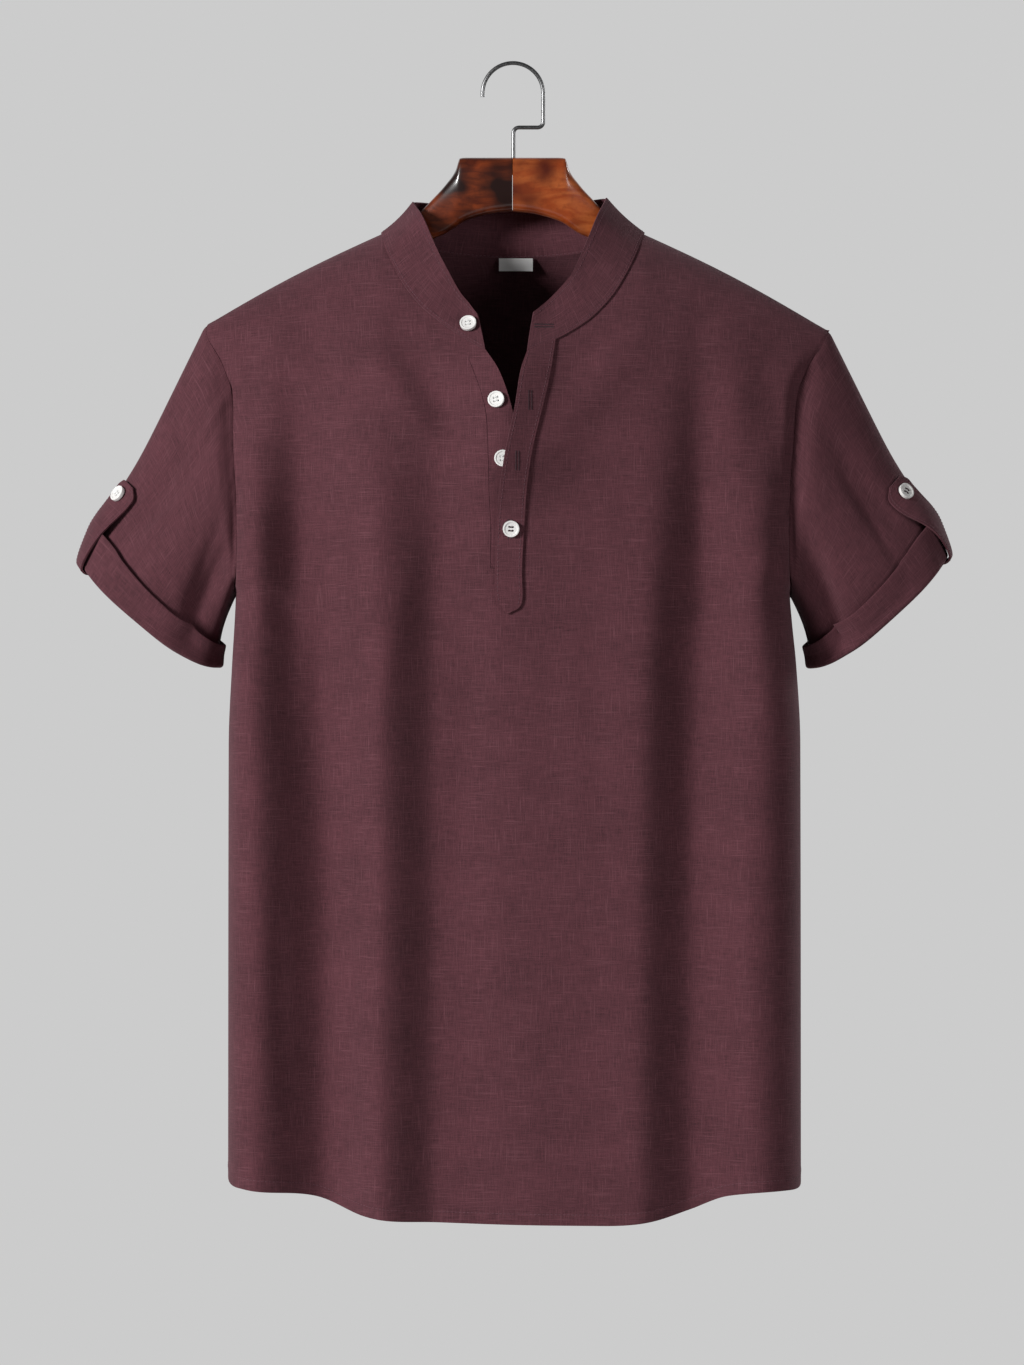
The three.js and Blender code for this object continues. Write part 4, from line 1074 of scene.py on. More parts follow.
def linen_group():
    """The yarn of a slub linen weave: how light each thread is, its slubs and its relief."""
    tree = bpy.data.node_groups.new("slub_linen", "ShaderNodeTree")
    face = tree.interface
    face.new_socket("Cloth", in_out="INPUT", socket_type="NodeSocketVector")
    for label in ("Tone", "Slub", "Height"):
        face.new_socket(label, in_out="OUTPUT", socket_type="NodeSocketFloat")
    cloth = node(tree, "NodeGroupInput").outputs[0]

    def add(a, b, share=1):
        return math_node(tree, "ADD", a, b if share == 1 else times(b, share))

    def times(a, b):
        return math_node(tree, "MULTIPLY", a, b)

    warp = stretched_noise(tree, cloth, (2.0, 0.09), 2, 3.1)
    weft = stretched_noise(tree, cloth, (0.09, 2.0), 2, 7.7)
    heather = stretched_noise(tree, cloth, (1.3, 1.3), 3, 1.3)
    broad = stretched_noise(tree, cloth, (0.02, 0.03), 1, 5.2)
    threads = add(warp, weft)
    tone = add(add(times(heather, 0.9), threads), broad, 0.35)
    slub_warp = ranged(tree, stretched_noise(tree, cloth, (1.3, 0.04), 1, 11.9), 0.62, 0.78)
    slub_weft = ranged(tree, stretched_noise(tree, cloth, (0.034, 1.3), 1, 17.3), 0.61, 0.77)
    slub = math_node(tree, "MAXIMUM", slub_warp, slub_weft)
    ways = node(tree, "ShaderNodeSeparateXYZ", {0: cloth}).outputs[:2]
    over, under = (math_node(tree, "SINE", times(way, 2 * math.pi)) for way in ways)
    plain = times(times(over, under), 0.25)
    node(tree, "NodeGroupOutput", {
        "Tone": ranged(tree, tone, 1.15, 2.1), "Slub": slub,
        "Height": add(add(plain, threads), slub, 0.5)})
    return tree


def cloth_material(name, linen, dark, light, slub_colour):
    material, tree = new_material(name)
    cloth = node(tree, "ShaderNodeUVMap", uv_map="cloth").outputs[0]
    yarn = node(tree, "ShaderNodeGroup", {"Cloth": cloth}, node_tree=linen).outputs
    colour = mix_colour(tree, yarn["Tone"], dark, light)
    slubs = math_node(tree, "MULTIPLY", yarn["Slub"], 0.3)
    return finished(material, {
        "Base Color": mix_colour(tree, slubs, colour, slub_colour),
        "Normal": relief(tree, yarn["Height"], 0.5, 0.25),
        "Roughness": 0.85, "Specular IOR Level": 0.25,
        "Sheen Weight": 0.18, "Sheen Roughness": 0.5, "Sheen Tint": (0.9, 0.62, 0.68)})


def thread_material(name, colour):
    material, tree = new_material(name)
    twist = noise_on(tree, on_object(tree), Scale=2600)
    darker = tuple(0.55 * c for c in colour)
    return finished(material, {
        "Base Color": mix_colour(tree, twist, darker, colour), "Roughness": 0.6})


def pearl_material():
    material, tree = new_material("pearl_button")
    cloud = noise_on(tree, on_object(tree), Scale=420, Detail=3, Distortion=1.2)
    return finished(material, {
        "Base Color": mix_colour(tree, cloud, (0.78, 0.76, 0.74), (0.93, 0.92, 0.9)),
        "Roughness": ranged(tree, cloud, 0.3, 0.7, 0.22, 0.38),
        "Coat Weight": 0.5, "Coat Roughness": 0.12})


def label_material():
    material, tree = new_material("label_satin")
    ribs = node(tree, "ShaderNodeTexWave", bands_direction="Z", inputs={
        "Vector": on_object(tree), "Scale": 700, "Distortion": 0.6}).outputs["Fac"]
    return finished(material, {
        "Base Color": mix_colour(tree, ribs, (0.74, 0.74, 0.73), (0.88, 0.88, 0.87)),
        "Normal": relief(tree, ribs, 0.3, 0.1), "Roughness": 0.6})


def wood_material(name, lean, dark_share, deep, mid, bright):
    """Lacquered wood: long grain that leans with the arm, dark figure and a glossy coat."""
    material, tree = new_material(name)
    place = on_object(tree)
    long_way = node(tree, "ShaderNodeMapping", {
        "Vector": place, "Scale": (14, 60, 60), "Rotation": (0, lean, 0)}).outputs[0]
    grain = noise_on(tree, long_way, Scale=1.6, Detail=6, Distortion=1.4)
    figure = noise_on(tree, place, Scale=26, Detail=2)
    fine = noise_on(tree, place, Scale=260, Detail=3)
    colour = mix_colour(tree, ranged(tree, grain, 0.38, 0.66), mid, bright)
    patch = ranged(tree, figure, 0.62 - dark_share, 0.42 - dark_share)
    colour = mix_colour(tree, patch, colour, deep)
    colour = mix_colour(tree, ranged(tree, fine, 0.5, 0.75, 0, 0.35), colour, deep)
    return finished(material, {
        "Base Color": colour, "Roughness": 0.3, "Coat Weight": 0.55, "Coat Roughness": 0.08})


def steel_material():
    material, tree = new_material("hook_steel")
    rub = noise_on(tree, on_object(tree), Scale=900)
    return finished(material, {
        "Base Color": mix_colour(tree, rub, (0.15, 0.15, 0.155), (0.27, 0.27, 0.27)),
        "Roughness": ranged(tree, rub, 0.3, 0.7, 0.28, 0.45), "Metallic": 1})


CLOTH_FINISH = cloth_material(
    "plum_linen", linen_group(),
    dark=(0.044, 0.0122, 0.0168), light=(0.124, 0.037, 0.049), slub_colour=(0.21, 0.08, 0.098))
THREAD_FINISH = thread_material("plum_thread", (0.15, 0.055, 0.075))
DARK_THREAD = thread_material("dark_thread", (0.05, 0.018, 0.026))
PEARL = pearl_material()
LABEL_FINISH = label_material()
WOOD_LEFT = wood_material(
    "lacquer_left", lean=-0.5, dark_share=0.04,
    deep=(0.014, 0.003, 0.002), mid=(0.085, 0.013, 0.004), bright=(0.24, 0.042, 0.009))
WOOD_RIGHT = wood_material(
    "lacquer_right", lean=0.5, dark_share=0.14,
    deep=(0.09, 0.012, 0.004), mid=(0.31, 0.053, 0.01), bright=(0.5, 0.125, 0.03))
STEEL_FINISH = steel_material()


# The body panels


def slit_bridge():
    """The strip of front between the slit's two sides, from the hem to the slit's foot."""
    rows = len(S_ROWS) - 1 + int(np.flatnonzero(T_ROWS == SLIT_FOOT_ROW)[0]) + 1
    left, _ = panel_half("front", -1)
    right, _ = panel_half("front", 1)
    share = np.linspace(0, 1, BRIDGE_COLUMNS)[None, :]
    x = mix(left[:rows, -1, 0][:, None], right[:rows, -1, 0][:, None], share)
    z = mix(left[:rows, -1, 2][:, None], right[:rows, -1, 2][:, None], share)
    grid = hem_swell(front_point(x, z), -1)
    grid[:, 0], grid[:, -1] = left[:rows, -1], right[:rows, -1]
    return grid, cloth_map(x, x, z)


FRONT_LEFT, LEFT_MAP = panel_half("front", -1)
FRONT_RIGHT, RIGHT_MAP = panel_half("front", 1)
BACK_LEFT, BACK_LEFT_MAP = panel_half("back", -1)
BACK_RIGHT, BACK_RIGHT_MAP = panel_half("back", 1)
BRIDGE, BRIDGE_MAP = slit_bridge()


def cloth_piece(name, parts, thickness, node_name):
    """A sheet of the shirt's cloth that stands in for its CAD node."""
    piece = thicken(mesh_piece(name, parts), thickness)
    return dress(piece, CLOTH_FINISH, "shirt_cloth", node_name)


front = cloth_piece("front_cloth", [
    (FRONT_LEFT, LEFT_MAP, False),
    (BRIDGE, BRIDGE_MAP, False),
    (FRONT_RIGHT[:, ::-1], RIGHT_MAP[:, ::-1], False),
], CLOTH, "front_panel")
back = cloth_piece("back_cloth", [
    (BACK_RIGHT, BACK_RIGHT_MAP + MAP_START["back"], False),
    (BACK_LEFT[:, ::-1], BACK_LEFT_MAP[:, ::-1] + MAP_START["back"], False),
], CLOTH, "back_panel")


# The sleeves, their cuffs and tabs


def armhole(side):
    """The armhole as a loop from the shoulder tip down the front and up the back."""
    rows = np.arange(len(UPPER_ROWS))
    arm = glide(rows, listed(UPPER_ROWS, "arm"), T_ROWS[::-1])
    x = side_x(side, arm)
    z = on_shoulder(x, arm, T_ROWS[::-1])
    down, up = front_point(x, z), back_point(x, z)[::-1]
    for line in (down, up):
        line[:, 0] += side * SEAM
    down[0] = (x[0] + side * SEAM, sweep(SHOULDER_TIP[0]), z[0])
    down[-1] = (side_x(side, UNDERARM_Z) + side * SEAM, 0, UNDERARM_Z)
    loop = np.concatenate([down, up[1:-1], down[:1]])
    far = along(loop)
    turn = len(down) - 1
    angle = np.where(np.arange(len(loop)) <= turn, np.pi * far / far[turn],
                     np.pi * (1 + (far - far[turn]) / (far[-1] - far[turn])))
    return loop, angle


class Sleeve:
    """Angle 0 is the sleeve's outer edge, 90 degrees its front, 180 its underside."""

    def __init__(self, name):
        self.name = name
        self.cuff = CUFFS[name]
        self.side = self.cuff["side"]
        self.loop, self.angles = armhole(self.side)
        self.runs = self.fold_runs()

    def rim(self, angle):
        return point_at(np.mod(angle, 2 * np.pi), self.angles, self.loop)

    def cuff_point(self, angle):
        outer = np.array([self.cuff["outer"][0], CUFF_MIDDLE_Y, self.cuff["outer"][1]])
        inner = np.array([self.cuff["inner"][0], CUFF_MIDDLE_Y, self.cuff["inner"][1]])
        middle, axis = (outer + inner) / 2, (outer - inner) / 2
        down = unit(np.array([axis[2] * self.side, 0, -axis[0] * self.side]))
        across = squared(np.cos(angle), CUFF_SQUARENESS)
        forward = squared(np.sin(angle), CUFF_SQUARENESS)
        hang = np.where(np.sin(angle) > 0, (1 - across ** 4) * (0.75 - 0.25 * across), 0)
        y = np.stack([0 * across, -CUFF_DEPTH * forward, 0 * across], -1)
        return middle + across[..., None] * axis + y + (CUFF_DROOP * hang)[..., None] * down

    def at(self, angle, share):
        angle, share = np.broadcast_arrays(np.asarray(angle, float), np.asarray(share, float))
        point = mix(self.rim(angle), self.cuff_point(angle), share[..., None])
        outer, inner = self.cuff["outer"], self.cuff["inner"]
        middle_x = mix(side_x(self.side, SLEEVE_MIDDLE[0]), (outer[0] + inner[0]) / 2, share)
        middle_z = mix(SLEEVE_MIDDLE[1], (outer[1] + inner[1]) / 2, share)
        out = unit(point - stack(middle_x, CUFF_MIDDLE_Y, middle_z))
        height = SLEEVE_FLARE["rise"] * np.maximum(0, np.cos(angle)) ** 2
        height = height * hump(share - SLEEVE_FLARE["at"], SLEEVE_FLARE["reach"])
        degrees = np.mod(np.degrees(angle), 360)
        for fold in SLEEVE_FOLDS + SLEEVE_CREASES[self.name]:
            run = np.clip((share - fold["from"]) / (fold["to"] - fold["from"]), 0, 1)
            fade = np.sin(np.pi * run) ** SLEEVE_FOLD_EASE
            aside = degrees - fold["angle"] - fold.get("lean", 0) * (run - 0.5)
            height = height + fold["rise"] * fade * hump(aside, fold["width"])
        tuck = SLEEVE_TUCK * np.maximum(0, -np.cos(angle)) ** 4 * np.sin(np.pi * share)
        point = point + out * height[..., None]
        point[..., 0] += self.side * tuck
        return point

    def outward(self, angle, share):
        low, high = np.maximum(0, share - SHARE_STEP), np.minimum(1, share + SHARE_STEP)
        round_it = self.at(angle + SHARE_STEP, share) - self.at(angle - SHARE_STEP, share)
        down = self.at(angle, high) - self.at(angle, low)
        return unit(np.cross(round_it, down) * self.side)

    def above(self, angle, h, r):
        """A point above the cuff's fold by h along the cloth, standing off it by r."""
        angle, h, r = np.broadcast_arrays(np.asarray(angle, float), h, r)
        length = np.linalg.norm(self.rim(angle) - self.cuff_point(angle), axis=-1)
        share = 1 - h / length
        inside = np.minimum(share, 1)
        point = self.at(angle, inside) + self.outward(angle, inside) * r[..., None]
        fold = self.at(angle, 1)
        down = unit(fold - self.at(angle, 1 - 2 * SHARE_STEP))
        out = self.outward(angle, 1 - SHARE_STEP)
        beyond = fold - down * h[..., None] + out * r[..., None]
        return np.where((share <= 1)[..., None], point, beyond)

    def fold_runs(self):
        """Distance run forward round the cuff's fold from its outer edge, by angle."""
        half = 300
        angle = np.linspace(-1.5, 1.5, 2 * half + 1)
        far = along(self.at(angle, NEAR_FOLD))
        return far - far[half], angle

    def angle_after(self, distance):
        return np.interp(distance, *self.runs)


def sleeve_piece(sleeve):
    angles = even(SLEEVE_ROUND + 1, lambda a: sleeve.at(a, 0.5), 0, 2 * np.pi)
    shares = np.linspace(0, 1, SLEEVE_ROWS)
    order = angles if sleeve.side > 0 else angles[::-1]
    grid = sleeve.at(order[None, :], shares[:, None])
    closed = grid[:, :-1]
    normals = grid_normals(closed, ring=True)
    far = along(closed[:, 0])[:, None] + 0 * closed[..., 0]
    depth = seam_dip(SLEEVE_SEAM, order[None, :-1] * ARMHOLE_RADIUS, far)
    closed = closed + normals * depth[..., None]
    sunk = np.where(np.sin(order[:-1]) > 0, TROUGH["front"], TROUGH["back"])
    sunk = sunk * armhole_trough(grid[0, :-1, 2])
    closed[..., 1] += sunk[None, :] * hump(far, TROUGH["sleeve"])
    around = along(sleeve.at(order, 0.5))[None, :] + 0 * shares[:, None]
    down = -shares[:, None] * SLEEVE_LENGTH + 0 * around
    flat = np.stack([around + MAP_START["sleeve"], down], axis=-1)
    return cloth_piece("sleeve_cloth_" + sleeve.name, [(closed, flat, True)], CLOTH,
                       "sleeve_" + sleeve.name)


def cuff_grid(sleeve, angles):
    height = mix(*CUFF_HEIGHT, (1 + np.cos(angles)) / 2)
    rows = []
    for row in CUFF_SECTION:
        h = row["h"] + row["part"] * height
        edge = np.clip(h / height, 0, 1) ** 3
        unrest = edge * CUFF_UNREST * (0.4 + np.sin(3 * angles + 1.1) + 0.5 * np.sin(7 * angles))
        rows.append(sleeve.above(angles, h, row["r"] + np.maximum(unrest, CUFF_PINCH)))
    return rows


def cuff_piece(sleeve):
    angles = even(SLEEVE_ROUND + 1, lambda a: sleeve.at(a, NEAR_FOLD), 0, 2 * np.pi)[:-1]
    angles = angles if sleeve.side < 0 else angles[::-1]
    section = through(cuff_grid(sleeve, angles), CUFF_ROWS, closed=True)
    grid = np.concatenate([section, section[:1]])
    middle = grid[CUFF_ROWS // 3]
    around = along(np.concatenate([middle, middle[:1]]))[None, :] + 0 * grid[:, :1, 0]
    over = along(grid[:, 0])[:, None] + 0 * around
    flat = np.stack([around + MAP_START["cuff"], over], axis=-1)
    piece = mesh_piece("cuff_cloth_" + sleeve.name, [(grid, flat, True)])
    close_and_turn_out(piece)
    piece.data.shade_smooth()
    return dress(piece, CLOTH_FINISH, "shirt_cloth", "cuff_" + sleeve.name)


def tab_piece(sleeve):
    tab = TABS[sleeve.name]
    across = np.linspace(-1, 1, TAB_COLUMNS)
    rows = []
    for row in TAB_SECTION:
        centre = mix(tab["at_fold"], tab["at_button"], smooth(row["h"] / TAB_BUTTON_H))
        aside = centre + across * row["width"] * TAB_WIDTH / 2
        rows.append(sleeve.above(sleeve.angle_after(aside), row["h"], row["r"]))
    grid = through(rows, TAB_ROWS)
    if sleeve.side > 0:
        grid = grid[:, ::-1]
    over = along(grid[:, TAB_COLUMNS // 2])[:, None] + 0 * across[None, :]
    aside = across[None, :] * TAB_WIDTH / 2 + 0 * over
    flat = np.stack([over + MAP_START["tab"], aside], axis=-1)
    piece = cloth_piece("tab_cloth_" + sleeve.name, [(grid, flat, False)], TAB_CLOTH,
                        "tab_" + sleeve.name)
    outer = grid[TAB_SEWN_FROM:]
    edges = [line_inside(outer, EDGE_INSET["tab"], side) for side in ("left", "right")]
    stitches = sew("tab_stitches_" + sleeve.name, edges, **STITCHES["tab"])
    dress(stitches, THREAD_FINISH, "shirt_cloth")
    return piece


sleeve_pieces, cuff_pieces, tab_pieces = {}, {}, {}
for name in ("left", "right"):
    sleeve = Sleeve(name)
    sleeve_pieces[name] = sleeve_piece(sleeve)
    cuff_pieces[name] = cuff_piece(sleeve)
    tab_pieces[name] = tab_piece(sleeve)


# The collar band and the plackets


def collar_grid():
    ends = []
    for row in COLLAR:
        seam = (back_point if row["behind"] else front_point)(*row["seam"])
        over = -row["back"] if row["behind"] else row["back"]
        ends.append((seam, (row["top"][0], seam[1] + over, row["top"][1])))
    ends = through(ends, BAND_COLUMNS)
    share = np.linspace(0, 1, BAND_ROWS)[:, None, None]
    rise = ends[:, 1] - ends[:, 0]
    start = -BAND_LAP / np.linalg.norm(rise, axis=-1)[None, :, None]
    grid = ends[None, :, 0] + rise[None] * (start + (1 - start) * share)
    crown = BAND_CROWN * np.sin(np.pi * share[..., 0])
    return grid + grid_normals(grid) * crown[..., None]


band_grid = collar_grid()
band_map = np.stack([
    along(band_grid[BAND_ROWS // 2 - 1])[None, :] + 0 * band_grid[..., 0] + MAP_START["band"],
    np.stack([along(column) for column in band_grid.transpose(1, 0, 2)], axis=1),
], axis=-1)
band = cloth_piece("collar_band_cloth", [(band_grid, band_map, False)], BAND_CLOTH, "collar_band")


def placket_grid(rows, count, inset, stand_off):
    left, right = through(listed(rows, "left"), count), through(listed(rows, "right"), count)
    lift = through([[row.get("lift", 0)] for row in rows], count)
    share = np.linspace(0, 1, PLACKET_COLUMNS)[None, :]
    x = mix(left[:, :1] + inset, right[:, :1], share)
    z = mix(left[:, 1:], right[:, 1:], share)
    grid = front_point(x, z)
    grid[..., 1] -= stand_off + lift * (1 - share) ** LIFT_EASE
    return grid, cloth_map(x + MAP_START["placket"], x, z)


under_grid, under_map = placket_grid(UNDER_PLACKET, UNDER_ROWS, SEAM, 0)
under = cloth_piece("placket_under_cloth", [(under_grid, under_map, False)], CLOTH,
                    "placket_under")
over_grid, over_map = placket_grid(OVER_PLACKET, OVER_ROWS, 0, PANEL_WALL + PLACKET_LAP)
over = cloth_piece("placket_over_cloth", [(over_grid, over_map, False)], OVER_CLOTH,
                   "placket_over")

# The band's grid is its inner face; the outer one is read from the other end
outer_band = (band_grid - BAND_CLOTH * grid_normals(band_grid))[:, ::-1]
body_lines = []
for face in (band_grid, outer_band):
    body_lines.append(line_inside(face, EDGE_INSET["band_top"], "top"))
    body_lines.append(line_inside(face, EDGE_INSET["band_foot"], "bottom"))
for edge in ("left", "right"):
    body_lines.append(line_inside(over_grid[POINT_ROWS:], EDGE_INSET["placket"], edge))
for face in (FRONT_LEFT, FRONT_RIGHT[:, ::-1], BRIDGE, BACK_RIGHT, BACK_LEFT[:, ::-1]):
    body_lines.append(line_inside(face, HEM_TURN, "bottom"))
dress(sew("body_stitches", body_lines, **STITCHES["body"]), THREAD_FINISH, "shirt_cloth")


def buttonhole(grid, x, z, upright):
    """Stitches side by side along both edges of a slit at a place seen from the front."""
    near = grid[(np.hypot(grid[..., 0] - x, grid[..., 2] - z) < HOLE_REACH) & (grid[..., 1] < 0)]

    def terms(a, b):
        return np.stack([a ** 0, a, b, a * a, a * b, b * b], axis=-1)

    fit = np.linalg.lstsq(terms(near[:, 0] - x, near[:, 2] - z), near[:, 1], rcond=None)[0]
    facing = unit(np.array([[fit[1], -1, fit[2]]] * 2))
    lines = []
    for run in np.arange(-HOLE_HALF, HOLE_HALF + 0.01, HOLE_STEP):
        for way in (-1, 1):
            reach = way * np.array(HOLE_STITCH)
            a, b = (reach, run + 0 * reach) if upright else (run + 0 * reach, reach)
            lines.append((stack(x + a, terms(a, b) @ fit, z + b), facing))
    return lines


holes = buttonhole(outer_band, *BAND_HOLE, False)
for x, z in PLACKET_HOLES:
    holes += buttonhole(over_grid, x, z, True)
dress(sew("buttonhole_stitches", holes, **STITCHES["buttonhole"]), DARK_THREAD, "shirt_cloth")


# Buttons


def button_shape():
    """A four-hole button with a dished face, its back on the plane z = 0, facing +Z."""
    bpy.ops.object.select_all(action="DESELECT")
    bpy.ops.mesh.primitive_cylinder_add(vertices=BUTTON["sides"], radius=BUTTON["radius"] * MM,
                                        depth=BUTTON["thick"] * MM,
                                        location=(0, 0, BUTTON["thick"] / 2 * MM))
    button = bpy.context.object
    bpy.ops.object.transform_apply(location=True, rotation=False, scale=False)
    bpy.ops.object.mode_set(mode="EDIT")
    bpy.ops.mesh.select_all(action="DESELECT")
    work = bmesh.from_edit_mesh(button.data)
    for face in work.faces:
        face.select = face.normal.z > 0.9
    bmesh.update_edit_mesh(button.data)
    bpy.ops.mesh.inset(thickness=BUTTON["rim"] * MM, depth=0)
    bpy.ops.mesh.inset(thickness=BUTTON["dish"] * MM, depth=-BUTTON["dish"] * MM)
    bpy.ops.object.mode_set(mode="OBJECT")
    for x, y in ((1, 1), (1, -1), (-1, 1), (-1, -1)):
        middle = (HOLE["out"] * x, HOLE["out"] * y, 0)
        drill(button, HOLE["radius"], HOLE["deep"], middle, HOLE["sides"])
    soften = button.modifiers.new("rim", "BEVEL")
    soften.width = BUTTON["round"] * MM
    soften.segments = 3
    soften.limit_method = "ANGLE"
    soften.angle_limit = math.radians(SHARP["button"])
    apply_all(button)
    smooth_shade(button, "button")
    return button


def seat_of(node_name):
    """The middle and the facing of a button's CAD node."""
    points = np.array([v.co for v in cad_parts[node_name].data.vertices])
    points = np.unique(np.round(points, 7), axis=0)
    middle = points.mean(0)
    _, axes = np.linalg.eigh(np.cov((points - middle).T))
    facing = axes[:, 0] * (-1 if axes[1, 0] > 0 else 1)
    reach = (points - middle) @ facing
    return middle + facing * reach.min(), facing


def place_matrix(foot, facing):
    turn = Vector((0, 0, 1)).rotation_difference(Vector(facing)).to_matrix().to_4x4()
    return Matrix.Translation(Vector(foot)) @ turn


def button_thread(name, matrix):
    """Two bars of thread across the holes, three strands each, sunk into them at both ends."""
    across = np.linspace(-HOLE["out"], HOLE["out"], 9)
    lines = []
    for side in (-1, 1):
        for strand in range(3):
            y = HOLE["out"] * side + STRAND["apart"] * (strand - 1) + STRAND["drift"] * strand
            top = STRAND["foot"] + STRAND["arch"] * np.cos(1.3 * across / HOLE["out"]) ** 2
            bar = stack(across, y, top)
            sunk = np.array([0, 0, STRAND["sink"]])
            lines.append(np.concatenate([bar[:1] - sunk, bar, bar[-1:] - sunk]))
    piece = wire_piece(name, lines, STRAND["radius"], 1, False)
    piece.data.transform(matrix)
    piece.data.shade_smooth()
    return piece


button = button_shape()
BUTTON_NODES = [f"placket_button_{i}" for i in range(1, 5)] + ["tab_button_left", "tab_button_right"]
for node_name in BUTTON_NODES:
    foot, facing = seat_of(node_name)
    matrix = place_matrix(foot, facing)
    copy = add_object(node_name.replace("button", "pearl"), button.data.copy())
    copy.data.transform(matrix)
    dress(copy, PEARL, "buttons", node_name)
    thread = button_thread(node_name.replace("button", "thread"), matrix)
    dress(thread, DARK_THREAD if node_name in DARK_SEWN else LABEL_FINISH, "buttons")
bpy.data.objects.remove(button)


# The label


def label_piece():
    low, high = (np.array(corner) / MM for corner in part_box("size_label"))
    across = np.linspace(low[0], high[0], LABEL["columns"])[None, :]
    up = np.linspace(low[2], high[2], LABEL["rows"])[:, None]
    y = back_point(across, BACK_NECK_Z)[..., 1] - LABEL["off"] + 0 * up
    belly = np.sin(np.pi * (up - low[2]) / (high[2] - low[2]))
    y = y - LABEL["belly"] * belly * np.cos((across - LABEL["middle"]) / LABEL["half"])
    grid = stack(across + 0 * up, y, up + 0 * across)
    piece = mesh_piece("label_patch", [(grid, grid[..., [0, 2]], False)])
    dress(thicken(piece, LABEL["cloth"]), LABEL_FINISH, "label_cloth", "size_label")
    ends = [line_inside(grid, LABEL["top_inset"], "top")]
    ends += [line_inside(grid, LABEL["side_inset"], side) for side in ("left", "right")]
    dress(sew("label_stitches", ends, **STITCHES["label"]), LABEL_FINISH, "label_cloth")
    return piece


label = label_piece()


# The hanger


def arm_piece(name, side, material):
    def size(column, at):
        return read(ARM, "x", at, column)

    x = even(ARM_RINGS, lambda p: np.stack([p, size("top", p)], 1), ARM[0]["x"], ARM[-1]["x"])
    top, bottom, thick = (size(column, x)[:, None] for column in ("top", "bottom", "thick"))
    angle = 2 * np.pi * (np.arange(ARM_SIDES) + 0.5) / ARM_SIDES
    up = squared(np.sin(angle), ARM_SQUARENESS)[None, :]
    over = squared(np.cos(angle), ARM_SQUARENESS)[None, :]
    y = sweep(x)[:, None] + over * thick / 2
    grid = stack(side * x[:, None] + 0 * up, y, mix(bottom, top, (1 + up) / 2))
    piece = mesh_piece(name, [(grid, np.zeros((ARM_RINGS, ARM_SIDES + 1, 2)), True)])
    close_and_turn_out(piece)
    drill(piece, BORE_RADIUS, BORE_DEPTH, (HOOK["stem_x"], 0, ARM[0]["top"]), BORE_SIDES)
    smooth_shade(piece, "wood")
    return dress(piece, material, "hanger_wood", name.replace("wood", "half"))


arm_piece("hanger_wood_left", -1, WOOD_LEFT)
arm_piece("hanger_wood_right", 1, WOOD_RIGHT)


def hook_line():
    """The hook's centre: up out of the wood, a jog to the right, a riser and the bow."""
    stem, jog, riser, corner = HOOK["stem_x"], HOOK["jog_z"], HOOK["riser_x"], HOOK["corner"]
    turn = np.linspace(0, 1, 8) * np.pi / 2
    sweep_round = np.linspace(0, 1, 40) * BOW_TURN
    centre = riser - HOOK["bow"]
    return np.concatenate([
        [(stem, 0, HOOK["stem_foot"])],
        stack(stem + corner - corner * np.cos(turn), 0, jog - corner + corner * np.sin(turn)),
        stack(riser - corner + corner * np.sin(turn), 0, jog + corner - corner * np.cos(turn)),
        stack(centre + HOOK["bow"] * np.cos(sweep_round), 0,
              HOOK["bow_z"] + HOOK["bow"] * np.sin(sweep_round)),
    ])


def hook_piece():
    piece = wire_piece("hook_wire", [hook_line()], WIRE / 2, 5, True)
    smooth_shade(piece, "wire")
    return dress(piece, STEEL_FINISH, "hook_wire", "hanger_hook")


hook_piece()


# Floor, light and camera


FLOOR_Z = -1.15
FLOOR_RADIUS = 1.2
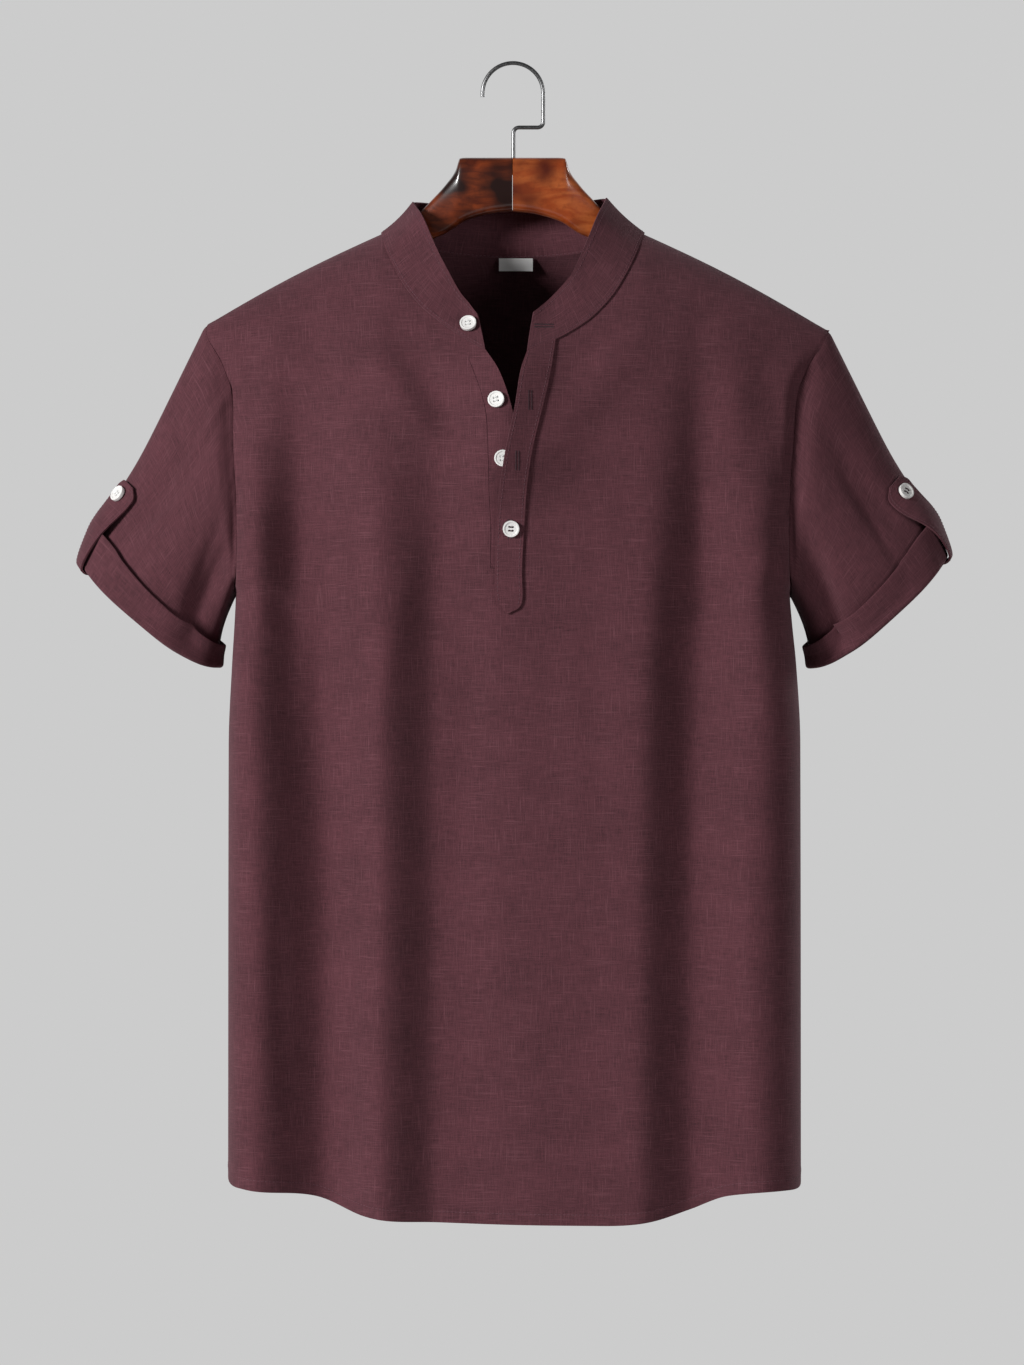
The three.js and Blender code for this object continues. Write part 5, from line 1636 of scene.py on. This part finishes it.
# The camera stands level, half a pixel left of the middle and about half way down the photo
LENS = 200
SENSOR = 36
CAMERA_X = -PIXEL / 2 * MM
CAMERA_Z = -0.4548
PICTURE_PLANE = -0.05
AIM = (0, 0, -0.45)


def set_stage():
    bpy.ops.mesh.primitive_circle_add(vertices=96, radius=FLOOR_RADIUS, fill_type="NGON",
                                      location=(0, 0, FLOOR_Z))
    floor = bpy.context.object
    floor.name = "floor"
    paper, _ = new_material("pale_floor")
    floor.data.materials.append(finished(paper, {"Base Color": (0.62, 0.62, 0.62), "Roughness": 0.9}))
    bpy.context.scene.world = studio_world()


def studio_world():
    """A plain grey surround, brighter behind the shirt than in front of it."""
    world = bpy.data.worlds.new("studio")
    world.use_nodes = True
    tree = world.node_tree
    way = node(tree, "ShaderNodeTexCoord").outputs["Generated"]
    back = node(tree, "ShaderNodeSeparateXYZ", {0: way}).outputs[1]
    grey = mix_colour(tree, ranged(tree, back, 0.3, 0.85), (0.08, 0.08, 0.08), (0.604, 0.604, 0.604))
    feed(tree, tree.nodes["Background"].inputs[0], grey)
    return world


def area_light(name, place, size, power):
    light = bpy.data.lights.new(name, "AREA")
    light.shape = "DISK"
    light.size = size
    light.energy = power
    lamp = add_object(name, light)
    lamp.location = place
    lamp.rotation_euler = (Vector(AIM) - Vector(place)).to_track_quat("-Z", "Y").to_euler()


def set_camera():
    data = bpy.data.cameras.new("photo_view")
    data.lens = LENS
    data.sensor_width = SENSOR
    data.clip_end = 50
    distance = PIXEL * PHOTO_HEIGHT * MM * LENS / SENSOR
    camera = add_object("photo_view", data)
    camera.location = (CAMERA_X, PICTURE_PLANE - distance, CAMERA_Z)
    camera.rotation_euler = (math.pi / 2, 0, 0)
    bpy.context.scene.camera = camera


set_stage()
area_light("key", (-2.85, -2.3, 0.5), 1.0, 154)
area_light("fill", (2.4, -2.5, 0.1), 1.6, 27)
area_light("rear", (2.2, 1.9, 0.4), 1.0, 14)
set_camera()
bpy.context.scene.view_settings.view_transform = "Standard"
